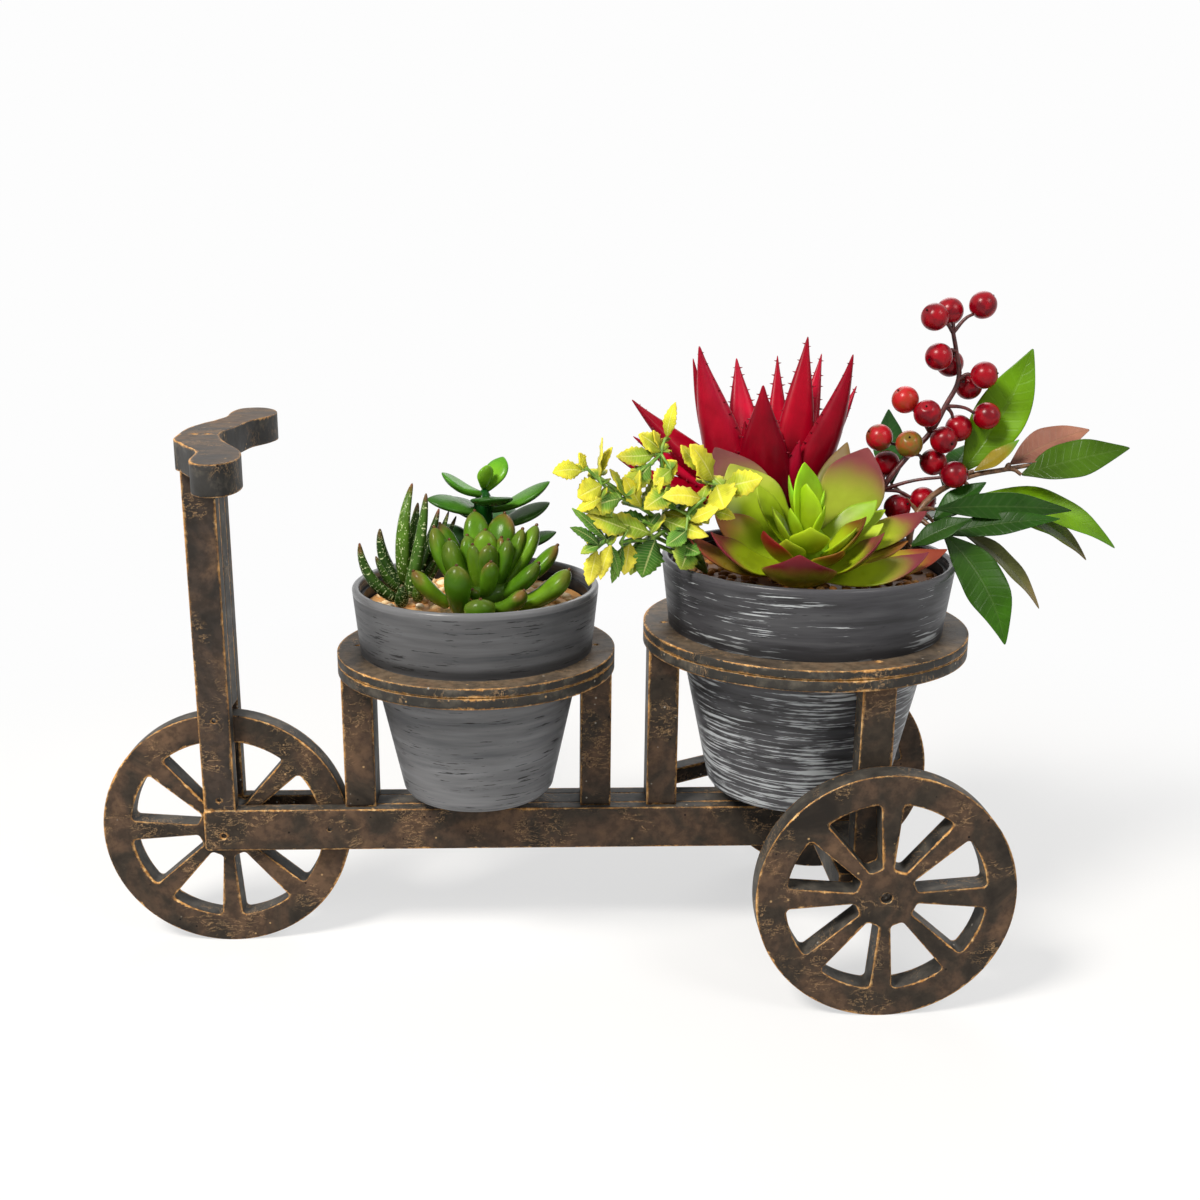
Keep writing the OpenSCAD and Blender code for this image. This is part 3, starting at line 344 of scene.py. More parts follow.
def moulded_leaf(name, gloss, tip_from, tip_to, edge_blush, mottle_mm, dots=None, veins=0.0,
                 vein="#8a9c66", soft=0.12, foot_shade=0.6):
    """Leaves moulded in soft polyethylene or pressed in coated cloth: the body colour is sprayed to
    another at the tip and along the rim, with a light mottle and the plant's own dots or veins. Dots
    has how many stand across and along the leaf, and their colour."""
    material, tree, shader = start_material(
        name, IOR=1.47, Subsurface_Weight=soft, Subsurface_Scale=1.5 * MM,
        Subsurface_Radius=(0.7, 0.7, 0.4), Specular_IOR_Level=0.13)
    along = add(tree, "Attribute", attribute_name="along").outputs["Fac"]
    across = add(tree, "Attribute", attribute_name="across").outputs["Fac"]
    body = add(tree, "Attribute", attribute_name="body").outputs["Color"]
    tip = add(tree, "Attribute", attribute_name="tip").outputs["Color"]
    place = add(tree, "TexCoord").outputs["Object"]
    mottle = add(tree, "TexNoise", {"Vector": place, "Scale": per(mottle_mm), "Detail": 3.0,
                                    "Roughness": 0.55})
    # The spray reaches further down along the rim than along the middle, and the mottle makes its end
    # swing to and fro
    rim = add(tree, "Math", {0: across}, operation="ABSOLUTE")
    rim_pull = add(tree, "Math", {0: rim, 1: 3.0}, operation="POWER")
    reach = add(tree, "Math", {0: rim_pull, 1: edge_blush, 2: along}, operation="MULTIPLY_ADD")
    swing = 0.3
    reach = add(tree, "Math", {0: mottle, 1: swing, 2: reach}, operation="MULTIPLY_ADD")
    spray = add(tree, "MapRange", {0: reach, LOW: tip_from + swing / 2, HIGH: tip_to + swing / 2},
                interpolation_type="SMOOTHSTEP")
    colour = add(tree, "Mix", {0: spray, UNDER: body, OVER: tip}, data_type="RGBA")
    # Painted shade: the colour is darkened on each leaf's underside and towards its foot, where shade falls
    upper = add(tree, "Attribute", attribute_name="upper").outputs["Fac"]
    under = add(tree, "MapRange", {0: upper, LOW: -0.8, HIGH: 0.3, TO_LOW: 0.66, TO_HIGH: 1.0},
                interpolation_type="SMOOTHSTEP")
    foot = add(tree, "MapRange", {0: along, LOW: 0.0, HIGH: 0.5, TO_LOW: foot_shade, TO_HIGH: 1.0},
               interpolation_type="SMOOTHSTEP")
    # The mottle is the leaf's own tone; the underside and foot factors multiplied into it below are painted
    # shade
    shade = add(tree, "MapRange", {0: mottle, LOW: 0.3, HIGH: 0.7, TO_LOW: 0.76, TO_HIGH: 1.2})
    shade = add(tree, "Math", {0: shade, 1: under}, operation="MULTIPLY")
    shade = add(tree, "Math", {0: shade, 1: foot}, operation="MULTIPLY")
    shade = add(tree, "CombineColor", {0: shade, 1: shade, 2: shade})
    colour = add(tree, "Mix", {0: 1.0, UNDER: colour, OVER: shade}, data_type="RGBA",
                 blend_type="MULTIPLY")
    height = mottle
    if dots:
        # Pale warts in loose rows along the leaf
        rows = add(tree, "CombineXYZ", {0: across, 1: along})
        rows = add(tree, "Mapping", {"Vector": rows, "Scale": (dots[0], dots[1], 1)})
        warts = add(tree, "TexVoronoi", {"Vector": rows, "Scale": 1.0, "Randomness": 0.75})
        wart = add(tree, "MapRange", {0: warts, LOW: 0.4, HIGH: 0.28}, interpolation_type="SMOOTHSTEP")
        lot = add(tree, "SeparateColor", {0: warts.outputs["Color"]})
        shown = add(tree, "MapRange", {0: lot.outputs[0], LOW: 0.2, HIGH: 0.45, TO_HIGH: 0.9})
        wart = add(tree, "Math", {0: wart, 1: shown}, operation="MULTIPLY")
        colour = add(tree, "Mix", {0: wart, UNDER: colour, OVER: dots[2]}, data_type="RGBA")
        height = wart
    if veins:
        # A pale midrib, and side veins that leave it at a slant
        middle = add(tree, "MapRange", {0: rim, LOW: 0.1, HIGH: 0.03}, interpolation_type="SMOOTHSTEP")
        slant = add(tree, "Math", {0: rim, 1: -0.09, 2: along}, operation="MULTIPLY_ADD")
        slant = add(tree, "Math", {0: slant, 1: 88.0}, operation="MULTIPLY")
        ribs = add(tree, "Math", {0: slant}, operation="SINE")
        ribs = add(tree, "MapRange", {0: ribs, LOW: 0.5, HIGH: 1.0}, interpolation_type="SMOOTHSTEP")
        lines = add(tree, "Math", {0: ribs, 1: 0.35, 2: middle}, operation="MULTIPLY_ADD")
        pale = add(tree, "Math", {0: lines, 1: veins}, operation="MULTIPLY")
        colour = add(tree, "Mix", {0: pale, UNDER: colour, OVER: vein}, data_type="RGBA")
        height = add(tree, "Math", {0: mottle, 1: lines}, operation="SUBTRACT")
    rough = add(tree, "MapRange", {0: mottle, LOW: 0.3, HIGH: 0.7, TO_LOW: gloss - 0.06,
                                   TO_HIGH: gloss + 0.08})
    bump = add(tree, "Bump", {"Strength": 0.35, "Distance": 0.4 * MM, "Height": height})
    fill(tree, shader, {"Base Color": colour, "Roughness": rough, "Normal": bump})
    return material


def wrapped_stem(name, dark, light):
    """Stems: wire wrapped in coloured paper tape and dipped, so slightly lumpy and satin."""
    material, tree, shader = start_material(name, Roughness=0.42, IOR=1.47)
    place = add(tree, "TexCoord").outputs["Object"]
    lumps = add(tree, "TexNoise", {"Vector": place, "Scale": per(2.5), "Detail": 4.0, "Roughness": 0.6})
    tone = add(tree, "ValToRGB", {0: lumps}, [(0.35, dark), (0.65, light)])
    bump = add(tree, "Bump", {"Strength": 0.5, "Distance": 0.4 * MM, "Height": lumps})
    fill(tree, shader, {"Base Color": tone, "Normal": bump})
    return material


def lacquered_berry(name):
    """Berries: foam balls dipped in red lacquer, clear and glossy, darker where the coat ran thick;
    the unripe ones were left greenish."""
    material, tree, shader = start_material(name, Roughness=0.27, IOR=1.45, Specular_IOR_Level=0.26)
    body = add(tree, "Attribute", attribute_name="body").outputs["Color"]
    tip = add(tree, "Attribute", attribute_name="tip").outputs["Color"]
    place = add(tree, "TexCoord").outputs["Object"]
    runs = add(tree, "TexNoise", {"Vector": place, "Scale": per(7), "Detail": 3.0, "Distortion": 0.5})
    share = add(tree, "MapRange", {0: runs, LOW: 0.42, HIGH: 0.66}, interpolation_type="SMOOTHSTEP")
    colour = add(tree, "Mix", {0: share, UNDER: body, OVER: tip}, data_type="RGBA")
    fill(tree, shader, {"Base Color": colour})
    return material


# Modelling helpers


def deselect():
    """Leaves nothing selected, so that the next operator acts on the new piece alone."""
    if bpy.context.object and bpy.context.object.mode != "OBJECT":
        bpy.ops.object.mode_set(mode="OBJECT")
    bpy.ops.object.select_all(action="DESELECT")


def activate(piece):
    """Selects a piece alone and makes it the active one."""
    deselect()
    piece.select_set(True)
    bpy.context.view_layer.objects.active = piece


def pick(mesh, test):
    """In edit mode, selects the vertices whose place passes the test."""
    shell = bmesh.from_edit_mesh(mesh)
    shell.select_mode = {"VERT"}
    for vertex in shell.verts:
        vertex.select = bool(test(vertex.co))
    shell.select_flush_mode()
    bmesh.update_edit_mesh(mesh)


def turn_outward():
    """In edit mode, turns every face of the piece outward."""
    bpy.ops.mesh.select_all(action="SELECT")
    bpy.ops.mesh.normals_make_consistent(inside=False)


def round_off(blank, levels):
    """Rounds a blank by subdivision."""
    rounder = blank.modifiers.new("Round", "SUBSURF")
    rounder.levels = rounder.render_levels = levels
    bpy.ops.object.modifier_apply(modifier=rounder.name)


def copy_of(blank):
    """A copy of a blank, with a mesh of its own."""
    copy = blank.copy()
    copy.data = blank.data.copy()
    bpy.context.collection.objects.link(copy)
    return copy


def mark(piece, lot):
    """Writes a piece's own lot, from 0 to 1, on all of its points."""
    values = piece.data.attributes.new("lot", "FLOAT", "POINT")
    values.data.foreach_set("value", [lot] * len(piece.data.vertices))


def paint(piece, body, tip):
    """Writes the colours of a piece's body and tip on all of its points."""
    for name, code in (("body", body), ("tip", tip)):
        tone = piece.data.attributes.new(name, "FLOAT_COLOR", "POINT")
        tone.data.foreach_set("color", linear(code) * len(piece.data.vertices))


def dress(node, material):
    """Puts a material on a CAD node's slots."""
    target = bpy.data.objects[node]
    if not target.material_slots:
        target.data.materials.append(material)
    for slot in target.material_slots:
        slot.material = material


def finish(piece, name, material, replaced, body):
    """Names a finished piece, gives it its material, and hangs it on its body in place of its node."""
    piece.name = piece.data.name = name
    piece.data.materials.clear()
    piece.data.materials.append(material)
    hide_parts(replaced)
    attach(piece, body)


def gather(pieces):
    """Joins copies into one piece."""
    deselect()
    for piece in pieces:
        piece.select_set(True)
    bpy.context.view_layer.objects.active = pieces[0]
    if len(pieces) > 1:
        bpy.ops.object.join()
    return bpy.context.object


def smooth(piece, angle=None):
    """Shades a piece smooth, all over or up to an angle in degrees."""
    activate(piece)
    if angle:
        bpy.ops.object.shade_smooth_by_angle(angle=math.radians(angle))
    else:
        bpy.ops.object.shade_smooth()


def mark_blank(blank, full=False):
    """Writes how far along, across and up through the leaf each vertex lies. A full blank is first
    brought back to a width and thickness of one, which rounding took from it."""
    mesh = blank.data
    if full:
        wide = 2 * max(abs(vertex.co.x) for vertex in mesh.vertices)
        deep = 2 * max(abs(vertex.co.y) for vertex in mesh.vertices)
        mesh.transform(Matrix.Diagonal((1 / wide, 1 / deep, 1, 1)))
    rows = {}
    for vertex in mesh.vertices:
        key = round(vertex.co.z, 3)
        rows[key] = max(rows.get(key, 1e-4), abs(vertex.co.x))
    deep = max(abs(vertex.co.y) for vertex in mesh.vertices)
    for name, value in (("along", lambda co: co.z),
                        ("across", lambda co: co.x / rows[round(co.z, 3)]),
                        ("upper", lambda co: co.y / deep)):
        written = mesh.attributes.new(name, "FLOAT", "POINT")
        written.data.foreach_set("value", [value(vertex.co) for vertex in mesh.vertices])


def fleshy_blank(outline, sides):
    """Models one unit fleshy leaf that stands on the origin: a disc extruded up and drawn to a tip.
    Outline rows hold height, width and thickness, each a share of the leaf's own."""
    deselect()
    bpy.ops.mesh.primitive_circle_add(vertices=sides, radius=0.5, fill_type="NGON")
    blank = bpy.context.object
    bpy.ops.object.mode_set(mode="EDIT")
    bpy.ops.mesh.select_all(action="SELECT")
    bpy.ops.transform.resize(value=(outline[0][1], outline[0][2], 1), center_override=(0, 0, 0))
    for below, here in zip(outline, outline[1:]):
        bpy.ops.mesh.extrude_region_move(TRANSFORM_OT_translate={"value": (0, 0, here[0] - below[0])})
        bpy.ops.transform.resize(value=(here[1] / below[1], here[2] / below[2], 1),
                                 center_override=(0, 0, here[0]))
    turn_outward()
    bpy.ops.object.mode_set(mode="OBJECT")
    round_off(blank, 1)
    mark_blank(blank, full=True)
    smooth(blank)
    return blank


def blade_blank(widths, columns, thick, teeth=0.0, smoothing=0):
    """Models one unit blade leaf: a grid on edge whose rows are drawn in to the leaf's outline, every
    other row pulled in where the rim is toothed, and then given its thickness."""
    rows = len(widths) - 1
    deselect()
    bpy.ops.mesh.primitive_grid_add(x_subdivisions=columns, y_subdivisions=rows, size=1,
                                    location=(0, 0, 0.5), rotation=(math.pi / 2, 0, 0))
    blank = bpy.context.object
    bpy.ops.object.transform_apply(location=True, rotation=True, scale=True)
    bpy.ops.object.mode_set(mode="EDIT")
    for row, width in enumerate(widths):
        height = row / rows
        pick(blank.data, lambda co: abs(co.z - height) < 0.2 / rows)
        draw_in = width * (1 - teeth * (row % 2) * (0 < row < rows))
        bpy.ops.transform.resize(value=(draw_in, 1, 1), center_override=(0, 0, height))
    bpy.ops.object.mode_set(mode="OBJECT")
    wall = blank.modifiers.new("Thickness", "SOLIDIFY")
    wall.thickness = thick
    wall.offset = 0
    bpy.ops.object.modifier_apply(modifier=wall.name)
    if smoothing:
        round_off(blank, smoothing)
    mark_blank(blank)
    smooth(blank)
    return blank


def leaf_frame(foot, tip, bow, roll):
    """The bent line a leaf follows: a function that gives, at a share of its length, the place on
    the line, the way along it, the way across the leaf, and the way its upper side faces. Roll turns
    the upper side towards the front of the planter."""
    foot, tip = Vector(foot) * MM, Vector(tip) * MM
    chord = tip - foot
    level = Vector((0, 0, 1)).cross(chord)
    level = level.normalized() if level.length > 1e-6 else Vector((0, 1, 0))
    upper = chord.normalized().cross(level)
    middle = (foot + tip) / 2 - upper * bow * chord.length
    turned = Matrix.Rotation(math.radians(roll if level.y >= 0 else -roll), 3, chord.normalized())
    across = turned @ level

    def at(share):
        place = foot * (1 - share) ** 2 + middle * 2 * share * (1 - share) + tip * share ** 2
        way = ((middle - foot) * (1 - share) + (tip - middle) * share).normalized()
        side = (across - way * across.dot(way)).normalized()
        return place, way, side, way.cross(side)

    return at


def grow(blank, base, foot, tip, width, thick, bow=0.15, roll=0, cup=0.0, fold=0.0, wave=0.0,
         body="#3f7d2a", end="#3f7d2a"):
    """Copies a blank and bends the copy from its foot to its tip, in millimetres from the plant's own
    foot. Cup curves it across, fold creases it along the midrib, and wave ripples its rim."""
    leaf = copy_of(blank)
    at = leaf_frame(foot, tip, bow, roll)
    width, thick = width * MM, thick * MM
    phase = foot[0] + tip[1]
    for vertex in leaf.data.vertices:
        x, y, z = vertex.co
        place, _, side, upper = at(min(max(z, 0.0), 1.0))
        lift = cup * width * 2 * x * x + fold * width * abs(x)
        lift += wave * width * x * abs(x) * 2 * math.sin(z * 15 + phase + (1.5 if x < 0 else 0))
        vertex.co = base + place + side * x * width + upper * (y * thick + lift)
    paint(leaf, body, end)
    return leaf


def draw_run(line, points, resolution):
    """Adds a smooth run through points, in metres, to a curve."""
    run = line.splines.new("BEZIER")
    run.bezier_points.add(len(points) - 1)
    run.resolution_u = resolution
    for knot, point in zip(run.bezier_points, points):
        knot.co = point
        knot.handle_left_type = knot.handle_right_type = "AUTO"
    return run


def to_mesh(line):
    """Puts a curve in the scene and turns it into a mesh."""
    piece = bpy.data.objects.new(line.name, line)
    bpy.context.collection.objects.link(piece)
    activate(piece)
    bpy.ops.object.convert(target="MESH")
    return bpy.context.object


def stems(name, base, paths, sides=2):
    """Models bare stems as round curves through points in millimetres from the plant's foot, each
    point with its own radius, then turns them into a mesh."""
    line = bpy.data.curves.new(name, "CURVE")
    line.dimensions = "3D"
    line.bevel_depth = 1.0
    line.bevel_resolution = sides
    line.use_fill_caps = True
    for path in paths:
        run = draw_run(line, [base + Vector(point[:3]) * MM for point in path], 5)
        for knot, point in zip(run.bezier_points, path):
            knot.radius = point[3] * MM
    piece = to_mesh(line)
    unused = piece.data.attributes.get("UVMap")
    if unused is not None:
        piece.data.attributes.remove(unused)
    smooth(piece)
    return piece


def drop(*blanks):
    """Removes the blanks once their copies are made."""
    for blank in blanks:
        bpy.data.objects.remove(blank, do_unlink=True)


# The user's sizes and colours


class PlanterSizes(bpy.types.PropertyGroup):
    """Sizes of what is dressed onto the frame."""

    wear: bpy.props.FloatProperty(
        name="Worn edge", description="Width of bare board along each arris, in millimetres", default=2.5,
        min=0.3, max=3.0)
    small_pebble: bpy.props.FloatProperty(
        name="Small pot pebble", description="Usual length of a pebble in the small pot",
        default=6.2 * MM, min=2 * MM, max=8 * MM, unit="LENGTH", subtype="DISTANCE")
    large_pebble: bpy.props.FloatProperty(
        name="Large pot pebble", description="Usual length of a pebble in the large pot",
        default=5.6 * MM, min=2 * MM, max=8 * MM, unit="LENGTH", subtype="DISTANCE")
    pebble_count: bpy.props.IntProperty(
        name="Pebbles", description="Pebbles laid in each pot", default=420, min=50, max=600)
    tooth: bpy.props.FloatProperty(
        name="Aloe tooth", description="Length of a tooth on the aloe's rim", default=2.3 * MM,
        min=0.5 * MM, max=4 * MM, unit="LENGTH", subtype="DISTANCE")
    berry: bpy.props.FloatProperty(
        name="Berry", description="Radius of a berry", default=6 * MM, min=4 * MM, max=6.2 * MM,
        unit="LENGTH", subtype="DISTANCE")


class PlanterColours(bpy.types.PropertyGroup):
    """Main colours of what is dressed onto the frame."""

    face_low: bpy.props.StringProperty(
        name="Board, dark", description="Darker brown of the board faces, as sRGB hex", default="#373029")
    face_high: bpy.props.StringProperty(
        name="Board, light", description="Lighter brown of the board faces, as sRGB hex", default="#503f33")
    small_wash: bpy.props.StringProperty(
        name="Small pot", description="Middle tone of the small pot, as sRGB hex", default="#66676a")
    large_wash: bpy.props.StringProperty(
        name="Large pot", description="Middle tone of the large pot, as sRGB hex", default="#434347")
    berry_red: bpy.props.StringProperty(
        name="Berry", description="Lacquer of the ripe berries, as sRGB hex", default="#8e0214")


def sizes():
    """The sizes that the panel shows."""
    return bpy.context.scene.planter_sizes


def colours():
    """The colours that the panel shows."""
    return bpy.context.scene.planter_colours


# Pieces


class DressBoards(bpy.types.Operator):
    """Gives every board, ring, leg and wheel its worn painted finish, and the nails their steel"""
    bl_idname = "planter.dress_boards"
    bl_label = "Boards and Nails"

    def execute(self, context):
        low, high = colours().face_low, colours().face_high
        wear = sizes().wear
        upright = worn_fibreboard("worn fibreboard, upright boards", 1, low, high, wear)
        post = worn_fibreboard("worn fibreboard, post", 1, "#2e2a27", "#423730", wear)
        flat = worn_fibreboard("worn fibreboard, rings", 2, "#544a40", "#6c5d4c", wear, "#34322f")
        steel = drawn_steel("drawn steel, rusted")
        finishes = {
            upright: ("rail_left", "rail_right", "center_beam", "side_stay", "rear_cross_board",
                      "small_ring_leg_front", "small_ring_leg_rear", "large_ring_leg_front",
                      "large_ring_leg_left", "large_ring_leg_right", "front_wheel",
                      "rear_wheel_left", "rear_wheel_right"),
            post: ("post_board_left", "post_board_right", "post_block"),
            flat: ("small_ring_top", "small_ring_base", "large_ring_top", "large_ring_base"),
            steel: ("front_axle", "rear_axle_left", "rear_axle_right", "post_nails", "bar_nails",
                    "ring_nails"),
        }
        for finish_of, nodes in finishes.items():
            for node in nodes:
                dress(node, finish_of)
        return {"FINISHED"}


class SawHandlebar(bpy.types.Operator):
    """Saws the handlebar to its curved outline: two arms with round ends, drawn in beside the post"""
    bl_idname = "planter.saw_handlebar"
    bl_label = "Handlebar"

    def execute(self, context):
        # The outline seen from above, in millimetres, counter-clockwise from the near arm's root
        outline = [(-183.6, -20), (-180.4, -25.1), (-176.4, -32.6), (-172.7, -39.3), (-168.7, -45.9),
                   (-166.5, -52.4), (-165.3, -61.2), (-164.2, -72.2), (-162.8, -76.8), (-159.2, -81.6),
                   (-154.9, -83.8), (-150.9, -82.4), (-148.1, -77.9), (-146.7, -70.8), (-146.9, -62.2),
                   (-148.3, -54.7), (-152.1, -44.3), (-157.3, -33.6), (-163, -21), (-166.7, -10.8),
                   (-169.2, -0.3), (-169.5, 6), (-168.5, 13), (-167, 22.2), (-166, 34.1), (-164.6, 44.5),
                   (-161.4, 52.3), (-159, 60.3), (-158.1, 69.8), (-160.3, 79.8), (-164.6, 88.2),
                   (-169.6, 92.4), (-174.5, 92), (-178, 89.4), (-180, 83), (-180.3, 71), (-179, 56.4),
                   (-180.4, 48.5), (-181.8, 41), (-183.6, 36), (-185, 29.2), (-186.4, 21.7),
                   (-186.9, 11.9), (-185.9, -3.7), (-185.2, -12)]
        low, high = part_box("handlebar")
        nails_low, nails_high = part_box("bar_nails")
        nail = (nails_high.y - nails_low.y) / 2
        middle = (nails_low.y + nails_high.y) / 2
        line = bpy.data.curves.new("handlebar_outline", "CURVE")
        line.dimensions = "2D"
        line.fill_mode = "BOTH"
        line.extrude = (high.z - low.z) / 2
        loops = [[(x * MM, y * MM, 0) for x, y in outline]]
        # A hole for each nail, a little wider than the nail
        reach = nail * 1.15
        turns = [i * math.pi / 4 for i in range(8)]
        for x in (nails_low.x + nail, nails_high.x - nail):
            loops.append([(x + reach * math.cos(turn), middle + reach * math.sin(turn), 0)
                          for turn in turns])
        for loop in loops:
            draw_run(line, loop, 3).use_cyclic_u = True
        board = to_mesh(line)
        board.location.z = (low.z + high.z) / 2
        bpy.ops.object.transform_apply(location=True, rotation=True, scale=True)
        bpy.ops.object.mode_set(mode="EDIT")
        bpy.ops.mesh.select_all(action="SELECT")
        bpy.ops.mesh.remove_doubles(threshold=0.01 * MM)
        turn_outward()
        bpy.ops.object.mode_set(mode="OBJECT")
        smooth(board, 30)
        bar = worn_fibreboard("worn fibreboard, handlebar", 2, "#3a332d", "#54473c", sizes().wear, "#333231")
        finish(board, "curved_handlebar", bar, "handlebar", FRAME_BODY)
        return {"FINISHED"}


class DressPots(bpy.types.Operator):
    """Gives the pots their brushed wash, and the liners and foam inside them their own finishes"""
    bl_idname = "planter.dress_pots"
    bl_label = "Pots, Liners and Foam"

    def execute(self, context):
        small = brushed_ceramic("brushed ceramic, mid grey", "small_pot", 29.5 * MM, 0.62,
                                ("#535559", colours().small_wash, "#74767a"), "#8f9192", (1.04, 1.04), 0.24)
        large = brushed_ceramic("brushed ceramic, charcoal", "large_pot", 31.5 * MM, 0.8,
                                ("#2c2c2e", colours().large_wash, "#545558"), "#a9aeb2", (0.74, 0.86), 0.2)
        liner = moulded_polypropylene("moulded polypropylene, black")
        foam = dry_floral_foam("dry floral foam")
        for node, material in (("small_pot", small), ("large_pot", large), ("small_liner", liner),
                               ("large_liner", liner), ("small_foam", foam), ("large_foam", foam)):
            dress(node, material)
        return {"FINISHED"}


def lay_pebbles(name, axis, node, length, tones, vein, body, seed):
    """Models one pebble, copies it over the pot's surface in two layers and joins the lot on a bed."""
    rng = random.Random(seed)
    low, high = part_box(node)
    wall_gap = 0.8 * MM
    reach = (high.x - low.x) / 2 - wall_gap
    top, depth = high.z, high.z - low.z
    deselect()
    bpy.ops.mesh.primitive_uv_sphere_add(segments=8, ring_count=5, radius=0.5)
    pebble = bpy.context.object
    bpy.ops.object.mode_set(mode="EDIT")
    pick(pebble.data, lambda co: co.x > 0.2)
    bpy.ops.transform.resize(value=(1, 0.8, 0.85), center_override=(0, 0, 0))
    pick(pebble.data, lambda co: co.z > 0.2)
    bpy.ops.transform.resize(value=(0.9, 1.1, 0.85), center_override=(0, 0, 0))
    bpy.ops.object.mode_set(mode="OBJECT")
    smooth(pebble)
    # The bed under them closes every gap between two pebbles
    bpy.ops.mesh.primitive_circle_add(vertices=48, radius=reach, fill_type="NGON",
                                      location=(axis.x, axis.y, low.z + depth * 0.25))
    bed = bpy.context.object
    bpy.ops.object.transform_apply(location=True, rotation=True, scale=True)
    bpy.ops.object.mode_set(mode="EDIT")
    bpy.ops.mesh.select_all(action="SELECT")
    bpy.ops.mesh.extrude_region_move(TRANSFORM_OT_translate={"value": (0, 0, depth * 0.3)})
    bpy.ops.mesh.inset(thickness=2 * MM, depth=0)
    turn_outward()
    bpy.ops.object.mode_set(mode="OBJECT")
    mark(bed, 0.0)
    copies = [bed]
    # Half of the spots lie in the lower layer and half in the upper one, at random but not too close
    spots = []
    count = sizes().pebble_count
    tries = count * 12
    for layer in (0, 1):
        for _ in range(tries):
            if len(spots) >= count * (layer + 1) // 2:
                break
            spread = (reach - length * 0.45) * math.sqrt(rng.random())
            turn = rng.uniform(0, 2 * math.pi)
            spot = Vector((spread * math.cos(turn), spread * math.sin(turn), layer))
            gap = length * (0.58 if layer else 0.66)
            if all(other.z != layer or (other - spot).length > gap for other in spots):
                spots.append(spot)
    for spot in spots:
        copy = copy_of(pebble)
        size = length * rng.uniform(0.72, 1.12)
        scale = Matrix.Diagonal((size, size * rng.uniform(0.68, 0.9), size * rng.uniform(0.55, 0.75), 1))
        turn = Matrix.Rotation(rng.uniform(0, 6.28), 4, "Z")
        tilt = turn @ Matrix.Rotation(rng.uniform(-0.5, 0.5), 4, "X")
        sunk = 0.0 if spot.z else length * 0.32
        lift = top - size * 0.34 - sunk
        place = Matrix.Translation((axis.x + spot.x, axis.y + spot.y, lift))
        copy.data.transform(place @ tilt @ scale)
        mark(copy, rng.random())
        copies.append(copy)
    drop(pebble)
    piece = gather(copies)
    finish(piece, name, tumbled_pebbles(name.replace("_", " "), tones, vein), node, body)


class LayPebbles(bpy.types.Operator):
    """Lays tumbled pebbles over both pots"""
    bl_idname = "planter.lay_pebbles"
    bl_label = "Pebbles"

    def execute(self, context):
        lay_pebbles("tan_pebble_bed", SMALL_AXIS, "small_gravel", sizes().small_pebble,
                    [(0.0, "#d0985a"), (0.3, "#e6bc80"), (0.65, "#f4d9ab"), (1.0, "#fceed4")], "#cf9e66",
                    SMALL_POT, 3)
        lay_pebbles("brown_pebble_bed", LARGE_AXIS, "large_gravel", sizes().large_pebble,
                    [(0.0, "#6a431c"), (0.4, "#946028"), (0.75, "#b57c3c"), (1.0, "#cda062")], "#63401c",
                    LARGE_POT, 5)
        return {"FINISHED"}


class GrowHaworthia(bpy.types.Operator):
    """Models the warty haworthia at the left of the small pot"""
    bl_idname = "planter.grow_haworthia"
    bl_label = "Haworthia"

    def execute(self, context):
        blank = fleshy_blank([(0, 0.75, 0.8), (0.12, 0.98, 1), (0.3, 1, 1), (0.5, 0.9, 0.92),
                              (0.7, 0.72, 0.78), (0.86, 0.48, 0.55), (0.95, 0.3, 0.35), (1, 0.1, 0.12)], 8)
        # Each leaf: foot, tip, width, bow and roll
        leaves = [
            ((-4, -10, 4), (-19, -13, 30), 6, 0.29, 0), ((-3, -2, 5), (-13, -8, 23), 4.5, 0.15, 0),
            ((-2, -1, 6), (-12, 2, 33), 6.5, 0.24, 0), ((-1, 0, 8), (2, 8, 52), 6, -0.28, 0),
            ((0, 2, 10), (4, 10, 43), 5.5, -0.05, 0), ((0, -9, 4), (9, -5, 50), 6.4, 0.05, 0),
            ((2, 1, 8), (13, 12, 40), 5, 0.05, 0), ((4, 3, 7), (17, 16, 38), 4, 0.05, 0),
            ((5, 4, 7), (20, 20, 35), 4, 0.05, 0), ((2, -1, 6), (13, -3, 22), 4.5, 0.1, 0),
            ((-2, -15, 3), (-1, -18, 13), 5.5, 0.2, 0), ((5, -11, 4), (5, -14, 13), 4.5, 0.2, 0),
            ((-7, -6, 5), (-10, -10, 11), 4, 0.3, 0), ((6, 3, 6), (18, 16, 28), 4, 0.05, 0),
        ]
        tones = ["#2e4a14", "#3c5c1e", "#243e10", "#48681f"]
        grown = [grow(blank, HAWORTHIA_FOOT, foot, tip, width * 1.12, width * 0.85, bow, roll, 0.1,
                      body=tones[i % 4], end="#5e4630" if i % 3 else "#6e3c28")
                 for i, (foot, tip, width, bow, roll) in enumerate(leaves)]
        drop(blank)
        material = moulded_leaf("moulded polyethylene, haworthia", 0.32, 0.82, 1.0, 0.0, 4,
                                dots=(4.6, 40, "#c3cf9c"))
        finish(gather(grown), "haworthia_plant", material, "haworthia", SMALL_POT)
        return {"FINISHED"}


